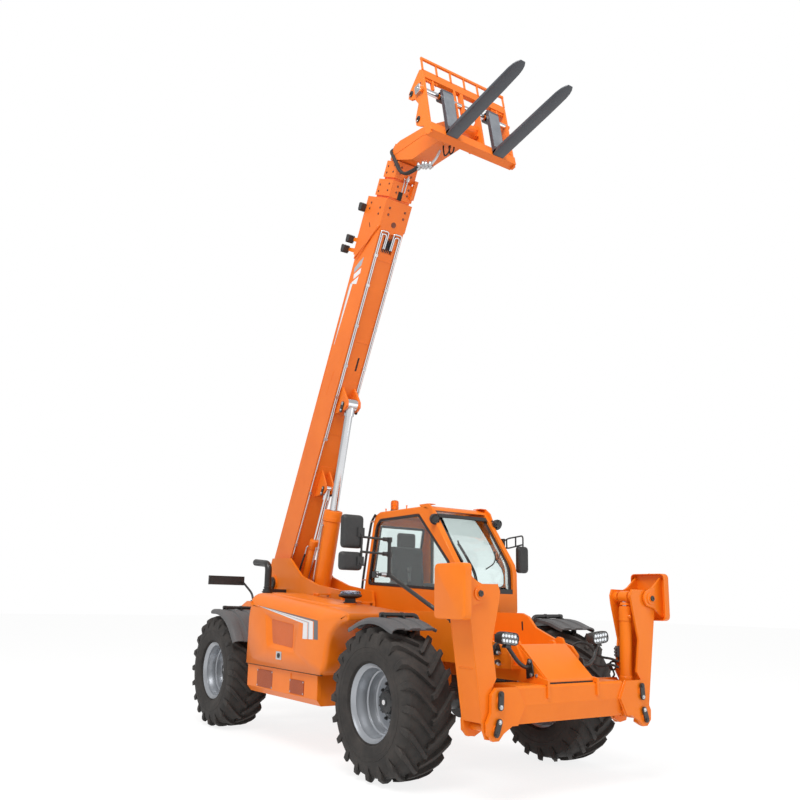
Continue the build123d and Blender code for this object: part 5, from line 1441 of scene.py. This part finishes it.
# service hose down the rear right pillar, the door's handle and the grab rail
piece = Piece()
route = [(-640, 268, 2560), (-720, 266, 2480), (-770, 266, 2300), (-885, 266, 1760), (-905, 266, 1600),
         (-905, 262, 1180)]
piece.tube(route, 15, bend=60)
piece.finish("pillarHose", hoseRubber, "root", "black_plastic", smooth=60)
piece = Piece()
for z in (2470, 2100, 1760, 1400):
    piece.block((-885 + max(0, (z - 1620)) * 0.217 - 24, -885 + max(0, (z - 1620)) * 0.217 + 24),
                (250, 284), (z, z + 16))
piece.finish("pillarClips", zincSteel, "root", "rod_chrome", bevel=2)
piece = Piece()
piece.tube([(520, 1152, 1560), (520, 1178, 1560), (660, 1178, 1560), (660, 1152, 1560)], 9, bend=18)
piece.prism(sidePlane, corners((500, 680), (1520, 1600)), 1150.5, 1156, 16)
piece.finish("doorHandle", blackPlastic, "door", "black_plastic", bevel=1.5)
piece = Piece()
piece.tube([(-760, 1152, 1500), (-760, 1200, 1520), (-700, 1200, 2200), (-700, 1152, 2230)], 13, bend=40)
piece.finish("grabRail", blackPaint, "root", "black_paint", smooth=60)

# mirrors: heads with rounded backs, clamps, arms and the long bar from the frame
def mirrorHead(shells, glasses, x, y0, y1, z0, z1, radius):
    outline = rounded(corners((y0, y1), (z0, z1)), radius, steps=6)
    middle = Vector(((y0 + y1) / 2, (z0 + z1) / 2))

    def ring(scale, depth):
        return [crossPlane(*(middle + (Vector(p) - middle) * scale), x + depth) for p in outline]
    shells.skin([ring(0.90, -2), ring(0.97, -2), ring(1.0, 2), ring(1.0, 22), ring(0.97, 38),
                 ring(0.90, 48), ring(0.76, 55), ring(0.5, 58)])
    glasses.skin([ring(0.94, -4), ring(0.94, 4)])


shells, glasses, stand, silver = Piece(), Piece(), Piece(), Piece()
mirrorHead(shells, glasses, 1402, -1443, -1220, 1981, 2284, 42)
mirrorHead(shells, glasses, 1402, -1458, -1224, 1783, 1949, 40)
for y, z in ((-1262, 2126), (-1262, 1866)):
    shells.block((1448, 1474), (y - 34, y + 34), (z - 42, z + 42))
    shells.lathe([(13, 0), (13, 9), (8, 10)], (1474, y, z - 20), (1, 0, 0), sides=14)
stand.tube([(cab["mirrorX"], -1256, 2150), (cab["mirrorX"], -1250, 1840)], 10)
for z in (2076, 1942):
    stand.tube([(cab["mirrorX"], -1262, z + 10), (cab["mirrorX"], cab["mirrorY"], z)], 11)
    stand.lathe([(26, -22), (26, 22)], (cab["mirrorX"], cab["mirrorY"], z), (0, 0, 1), sides=20)
    stand.lathe([(19, -16), (19, 16)], (cab["mirrorX"], -1000, z + 2), (0, 1, 0), sides=16)
stand.tube([(cab["mirrorX"], cab["mirrorY"], 2090), (cab["mirrorX"], cab["mirrorY"], 1752)], 17)
stand.tube([(cab["mirrorX"], cab["mirrorY"], 1762), (1500, -946, 1738), (2065, -890, 1470),
            (2140, -758, 1375), (2330, -423, 1132)], 19, bend=40)
stand.tube([(2140, -758, 1375), (2300, -476, 1170)], 28)
stand.block((2290, 2370), (-424, -410.3), (1085, 1165))
stand.tube([(cab["mirrorX"], -960, 1760), (cab["mirrorX"], -1100, 1752)], 15)
stand.lathe([(34, -20), (34, 20)], (cab["mirrorX"], -955, 1752), (0, 0, 1), sides=20)
stand.block((1440, 1490), (-1116, -1076), (1724, 1782))
silver.lathe([(20, -26), (20, 26)], (1476, -1018, 1756), (0, 1, 0), sides=12)
silver.bolt((1492, -1096, 1768), (1, 0, 0), 9, 8)
silver.bolt((1492, -1096, 1738), (1, 0, 0), 9, 8)
# the left mirror on its frame
mirrorHead(shells, glasses, 790, 1271, 1426, 1862, 2166, 40)
for route in ([(700, 1152, 2215), (760, 1185, 2252), (802, 1360, 2290), (802, 1374, 2270),
               (802, 1374, 2130)],
              [(700, 1152, 2150), (750, 1190, 2140), (800, 1374, 2190)],
              [(740, 1176, 2240), (742, 1178, 2142)], [(786, 1275, 2268), (784, 1276, 2160)]):
    stand.tube(route, 9, bend=24)
stand.block((672, 716), (1150.4, 1176), (2110, 2250))
shells.finish("mirrorShells", blackPlastic, "root", "black_plastic", bevel=1.2, replaces=["mirrors"])
glasses.finish("mirrorFaces", mirrorGlass, "root", "rod_chrome")
stand.finish("mirrorStands", blackPaint, "root", "black_paint", smooth=45)
silver.finish("mirrorClamps", zincSteel, "root", "rod_chrome", bevel=1)
print("cab ready")

# seat: crowned cushions with sewn channels and piping, the sprung base, armrests and console
seat = {
    "fill": 0.9, "crown": 22, "groove": 9, "grooveWidth": 13, "headCrown": 12, "backLean": radians(-94.3),
    "cushionHalf": (265, 250, 60), "cushionAt": (-325, 715, 1565), "cushionRadius": 48,
    "backHalf": (302, 230, 58), "backAt": (-571, 715, 1875), "backRadius": 46,
    "headHalf": (92, 130, 34), "headAt": (-597, 715, 2262), "headRadius": 30,
}


def cushion(name, half, radius, grooves, centre, lean, crown):
    # a rounded box, swollen on its face and drawn in along the sewn lines
    bm = bmesh.new()
    bmesh.ops.create_cube(bm, size=2.0)
    bmesh.ops.subdivide_edges(bm, edges=bm.edges, cuts=25, use_grid_fill=True)
    turn = Matrix.Rotation(lean, 3, "Y")
    inner = [h - radius for h in half]
    for vertex in bm.verts:
        p = Vector([c * h for c, h in zip(vertex.co, half)])
        core = Vector([max(-i, min(i, c)) for c, i in zip(p, inner)])
        out = p - core
        if out.length > 0:
            p = core + out.normalized() * radius
        if vertex.co.z > 0.2:
            p.z += crown * (1 - (p.x / half[0]) ** 2) * (1 - (p.y / half[1]) ** 4)
            for axis, at in grooves:
                p.z -= seat["groove"] * exp(-((p[axis] - at) / seat["grooveWidth"]) ** 2)
        swell = 1 + 0.012 * cos(vertex.co.z * pi / 2)
        p.x, p.y = p.x * swell, p.y * swell
        vertex.co = (turn @ p + Vector(centre)) * mm
    mesh = bpy.data.meshes.new(name)
    for face in bm.faces:
        face.smooth = True
    bm.to_mesh(mesh)
    bm.free()
    mesh.materials.append(seatCloth)
    obj = addObject(name, mesh)
    soft = obj.modifiers.new("soft", "SUBSURF")
    soft.levels = soft.render_levels = 1
    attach(obj, "root")
    return obj


def piping(piece, half, radius, centre, lean, level):
    turn = Matrix.Rotation(lean, 3, "Y")
    line = rounded([(-half[0], -half[1]), (half[0], -half[1]), (half[0], half[1]), (-half[0], half[1])],
                   radius, steps=6)
    points = [tuple(turn @ Vector((a * 1.012, b * 1.012, level)) + Vector(centre)) for a, b in line]
    piece.tube(points + [points[0], points[1]], 4.5, sides=8)


channels = [(1, -130), (1, 130)] + [(0, a) for a in (-130, -20, 90)]
lines = [(1, -120), (1, 120)] + [(0, a) for a in (-190, -90, 10, 110, 210)]
made = [
    cushion("seatCushion", seat["cushionHalf"], seat["cushionRadius"], channels, seat["cushionAt"], 0,
            seat["crown"]),
    cushion("seatBackrest", seat["backHalf"], seat["backRadius"], lines, seat["backAt"], seat["backLean"],
            seat["crown"]),
    cushion("seatHeadrest", seat["headHalf"], seat["headRadius"], [(1, -70), (1, 70)], seat["headAt"],
            radians(-90), seat["headCrown"]),
]
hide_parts("operator_seat")
piece = Piece()
piping(piece, seat["cushionHalf"], seat["cushionRadius"], seat["cushionAt"], 0, 26)
piping(piece, seat["backHalf"], seat["backRadius"], seat["backAt"], seat["backLean"], 22)
piece.finish("seatPiping", hoseRubber, "root", "black_plastic", smooth=60)
piece = Piece()
folds = [(-150 + 12 * (k % 2), 1190 + 26 * k) for k in range(11)]
plan = corners((-560, -130), (515, 915))
piece.skin([[topPlane(*p, z) for p in rounded(insetOutline(plan, 6 + 10 * (k % 2)), 50)]
            for k, (_, z) in enumerate(folds)])
piece.block((-575, -80), (505, 925), (1176, 1194))
piece.block((-570, -90), (530, 900), (1462, 1506))
for y in (500, 930):
    piece.block((-560, -130), (y - 14, y + 14), (1470, 1496))
piece.finish("seatBase", blackPlastic, "root", "black_plastic", bevel=4)
piece = Piece()
for y in (660, 770):
    piece.tube([(-585, y, 2140), (-597, y, 2200)], 7)
for side in (-1, 1):
    piece.tube([(-520, 715 + side * 262, 1700), (-500, 715 + side * 262, 1712)], 16)
piece.finish("seatRods", zincSteel, "root", "rod_chrome")
piece = Piece()
for y0, y1 in ((430, 475), (955, 1000)):
    piece.prism(sidePlane, [(-540, 1690), (-230, 1690), (-220, 1735), (-540, 1750)], y0, y1, 18)
piece.tube([(-180, 480, 1750), (-190, 474, 1860)], 16)
piece.lathe([(14, 0), (26, 14), (28, 50), (20, 66), (0, 70)], (-190, 474, 1850), (0, 0, 1), sides=24)
piece.block((-120, 420), (372, 500), (1180, 1560))
piece.prism(sidePlane, [(-260, 1180), (140, 1180), (120, 1640), (-250, 1700)], 372, 470, 30)
piece.finish("cabConsole", interiorGrey, "root", "black_plastic", bevel=6)
print("seat ready")

# rear: light bars, tail cover, rear pin, exhaust clamp, step grips, filler cap and the tower's locks
rear = {
    "barX": -2850, "barMiddle": 705,  "coverX": -2861, "towX": -2950,
    "exhaustX": -1975, "exhaustY": -500, "capAt": (-640, 1009, 960),
}
bars, lenses, red, amber, stand, bolts = (Piece() for _ in range(6))
for side in (-1, 1):
    middle = side * rear["barMiddle"]
    x = rear["barX"]
    bars.block((x + 2, x + 26), (middle - 255, middle + 255), (1690, 1810))
    for z in (1690, 1800):
        bars.block((x - 4, x + 30), (middle - 257, middle + 257), (z, z + 10))
    for y in (middle - 257, middle + 247):
        bars.block((x - 4, x + 30), (y, y + 10), (1690, 1810))
    for y0, width, group in ((side * 885, 100, amber), (side * 760, 120, red), (side * 610, 150, lenses),
                             (side * 510, 60, red)):
        group.prism(crossPlane, corners((y0 - width / 2 + 4, y0 + width / 2 - 4), (1708, 1792)), x - 3,
                    x + 4, 14)
    stand.tube([(-2700, side * 358, 1493), (-2740, side * 362, 1585), (-2818, side * 452, 1716),
                (-2822, side * 500, 1748)], 15,
               bend=50)
    stand.block((-2732, -2668), (min(side * 333, side * 381), max(side * 333, side * 381)), (1480.3, 1493))
    for x0 in (-2718, -2682):
        bolts.bolt((x0, side * 346, 1493), (0, 0, 1), 9, 7, 14)
    for y in (middle - 240, middle + 240):
        bolts.bolt((rear["barX"] - 4, y, 1750), (-1, 0, 0), 8, 5)
bars.finish("rearLightBars", blackPlastic, "root", "black_plastic", bevel=2, replaces=["lamps"])
stand.finish("rearLightStands", blackPaint, "root", "black_paint", smooth=50)
lenses.finish("rearLampClear", lampGlass, "root", "window_glass", bevel=1.5)
red.finish("rearLampRed", lampRed, "root", "amber_lamp", bevel=1.5)
amber.finish("rearLampAmber", amberLens, "root", "amber_lamp", bevel=1.5)

# counterweight face: bolted cover under two ribs, and a pin behind the clevis
piece = Piece()
piece.prism(crossPlane, corners((-330, 330), (900, 1300)), -2861, -2849, 40)
for z in (1340, 1400):
    piece.prism(crossPlane, oblong((-380, z), (380, z), 10), -2856, -2849)
piece.finish("tailCover", machineOrange, "root", "orange_paint", bevel=4)
for y in (-290, 290):
    for z in (940, 1260):
        bolts.bolt((rear["coverX"], y, z), (-1, 0, 0), 14, 9, 22)
piece = Piece()
piece.lathe([(22, 0), (22, 190), (30, 194), (30, 214), (12, 222)], (rear["towX"], 0, 690), (0, 0, 1),
            sides=28)
piece.tube([(rear["towX"], 0, 905), (rear["towX"], 40, 935), (rear["towX"], 0, 965),
            (rear["towX"], -40, 935), (rear["towX"], 0, 905)], 6, bend=16)
piece.finish("towPin", zincSteel, "root", "rod_chrome", bevel=1)

# exhaust: clamp band, flange and a black disc of painted shade in the open end
piece = Piece()
piece.lathe([(61, 0), (66, 3), (66, 21), (61, 24)], (rear["exhaustX"], rear["exhaustY"], 1590), (0, 0, 1))
piece.lathe([(46, 0), (52, 3), (52, 15), (46, 18)], (rear["exhaustX"], rear["exhaustY"], 1652), (0, 0, 1))
piece.block((-1990, -1960), (-575, -560), (1596, 1608))
for turn in turns(12):
    piece.block((rear["exhaustX"] + 61 * cos(turn) - 7, rear["exhaustX"] + 61 * cos(turn) + 7),
                (rear["exhaustY"] + 61 * sin(turn) - 7, rear["exhaustY"] + 61 * sin(turn) + 7),
                (1450, 1560))
piece.finish("exhaustClamp", blackPaint, "root", "black_paint", bevel=1)
piece = Piece()
piece.lathe(corners((0, 38), (0, 2)), (-2366, -500, 1990), (-1, 0, 0.08), sides=32)
piece.finish("exhaustMouth", shadowBlack, "root", "black_paint")

# left side: grip plates on the steps and the filler cap
piece = Piece()
for z in (604, 864):
    for k in range(12):
        piece.block((-115 + k * 48, -83 + k * 48), (1020, 1122), (z - 3, z + 3))
piece.finish("stepGrips", zincSteel, "root", "rod_chrome", bevel=1)
piece = Piece()
piece.lathe([(58, 0), (58, 8), (50, 12), (50, 34), (44, 40), (0, 42)], rear["capAt"], (0, 1, 0), sides=36)
for turn in turns(8):
    piece.block((-640 + 50 * cos(turn) - 6, -640 + 50 * cos(turn) + 6), (1020, 1044),
                (960 + 50 * sin(turn) - 6, 960 + 50 * sin(turn) + 6))
piece.finish("fillerCap", blackPlastic, "root", "black_plastic", bevel=1.5)
bolts.finish("rearBolts", zincSteel, "root", "rod_chrome", bevel=1)

# tower: the boom pivot's round lock on each side
piece = Piece()
for side in (-1, 1):
    piece.lathe([(84, 0), (84, 26), (76, 32), (40, 32), (36, 28), (0, 28)],
                (boomPivot[0], side * 255.5, boomPivot[1]), (0, side, 0), sides=40)
    for turn in turns(4, 0.5):
        piece.bolt((boomPivot[0] + 60 * cos(turn), side * 287.5, boomPivot[1] + 60 * sin(turn)),
                   (0, side, 0), 9, 7)
piece.finish("pivotLocks", blackPaint, "root", "black_paint", bevel=1)
print("rear ready")

# stage: pale floor, soft light and the camera
stage = {
    "floor": (0.86, 0.86, 0.85), "floorSize": 120, "keyPower": 1330, "fillPower": 150, "skyStrength": 0.62,
    "lift": 0.74, "glow": 1.13,
    "cameraAt": (7.676, -5.179, 1.518), "heading": 34.181, "rise": 11.286, "roll": 1.201,
    "lens": 36.23, "shiftX": 0.0120, "shiftY": 0.0505,
}


def makeFloor():
    material, tree, shader = newMaterial("paleFloor")
    shader.inputs["Roughness"].default_value = 0.9
    place = addNode(tree, "ShaderNodeTexCoord")
    cloud = addNode(tree, "ShaderNodeTexNoise", Scale=0.8, Detail=3.0)
    wire(tree, (place.outputs["Object"], cloud.inputs["Vector"]))
    pale = tuple(c * 0.98 for c in stage["floor"])
    wire(tree, (mixColour(tree, cloud.outputs["Fac"], (*stage["floor"], 1), (*pale, 1)),
                shader.inputs["Base Color"]))
    seen = addNode(tree, "ShaderNodeLightPath")
    direct = mathNode(tree, "MAXIMUM", seen.outputs["Is Camera Ray"],
                      mathNode(tree, "MAXIMUM", seen.outputs["Is Glossy Ray"],
                               seen.outputs["Is Transmission Ray"]))
    lift = mathNode(tree, "MULTIPLY", direct, stage["lift"])
    glow = addNode(tree, "ShaderNodeEmission", Color=(1, 1, 1, 1), Strength=stage["glow"])
    mixer = addNode(tree, "ShaderNodeMixShader")
    wire(tree, (lift, mixer.inputs[0]), (shader.outputs[0], mixer.inputs[1]),
         (glow.outputs[0], mixer.inputs[2]),
         (mixer.outputs[0], tree.nodes["Material Output"].inputs["Surface"]))
    bm = bmesh.new()
    bmesh.ops.create_grid(bm, x_segments=2, y_segments=2, size=stage["floorSize"] / 2)
    mesh = bpy.data.meshes.new("floor")
    bm.to_mesh(mesh)
    bm.free()
    mesh.materials.append(material)
    floor = addObject("floor", mesh)
    floor.location.z = -0.001


def softLight(name, at, target, size, power):
    data = bpy.data.lights.new(name, "AREA")
    data.shape, data.size, data.energy = "DISK", size, power
    lamp = addObject(name, data)
    lamp.location = at
    lamp.rotation_euler = (Vector(target) - Vector(at)).to_track_quat("-Z", "Y").to_euler()


def makeSky():
    world = bpy.data.worlds.new("sky")
    bpy.context.scene.world = world
    world.use_nodes = True
    tree = world.node_tree
    background = tree.nodes["Background"]
    background.inputs["Color"].default_value = (1, 1, 1, 1)
    seen = addNode(tree, "ShaderNodeLightPath")
    direct = mathNode(tree, "MAXIMUM", seen.outputs["Is Camera Ray"], seen.outputs["Is Transmission Ray"])
    spread = addNode(tree, "ShaderNodeMapRange", To_Min=stage["skyStrength"], To_Max=1.0)
    wire(tree, (direct, spread.inputs["Value"]), (spread.outputs[0], background.inputs["Strength"]))


def makeCamera():
    heading, rise, roll = (radians(stage[k]) for k in ("heading", "rise", "roll"))
    ahead = Vector((-cos(heading) * cos(rise), sin(heading) * cos(rise), sin(rise)))
    right = ahead.cross(Vector((0, 0, 1))).normalized()
    up = right.cross(ahead)
    turned = right * cos(roll) + up * sin(roll), right * -sin(roll) + up * cos(roll)
    data = bpy.data.cameras.new("view")
    camera = addObject("view", data)
    matrix = Matrix((turned[0], turned[1], -ahead)).transposed().to_4x4()
    matrix.translation = stage["cameraAt"]
    camera.matrix_world = matrix
    data.lens, data.sensor_width, data.clip_end = stage["lens"], 36, 300
    data.shift_x, data.shift_y = stage["shiftX"], stage["shiftY"]
    bpy.context.scene.camera = camera


makeFloor()
softLight("key", (6, -7, 13), (0, 0, 2), 7, stage["keyPower"])
softLight("fill", (10, 6, 4), (0, 0, 2), 8, stage["fillPower"])
makeSky()
makeCamera()
bpy.context.scene.view_settings.view_transform = "Standard"
print("stage ready")
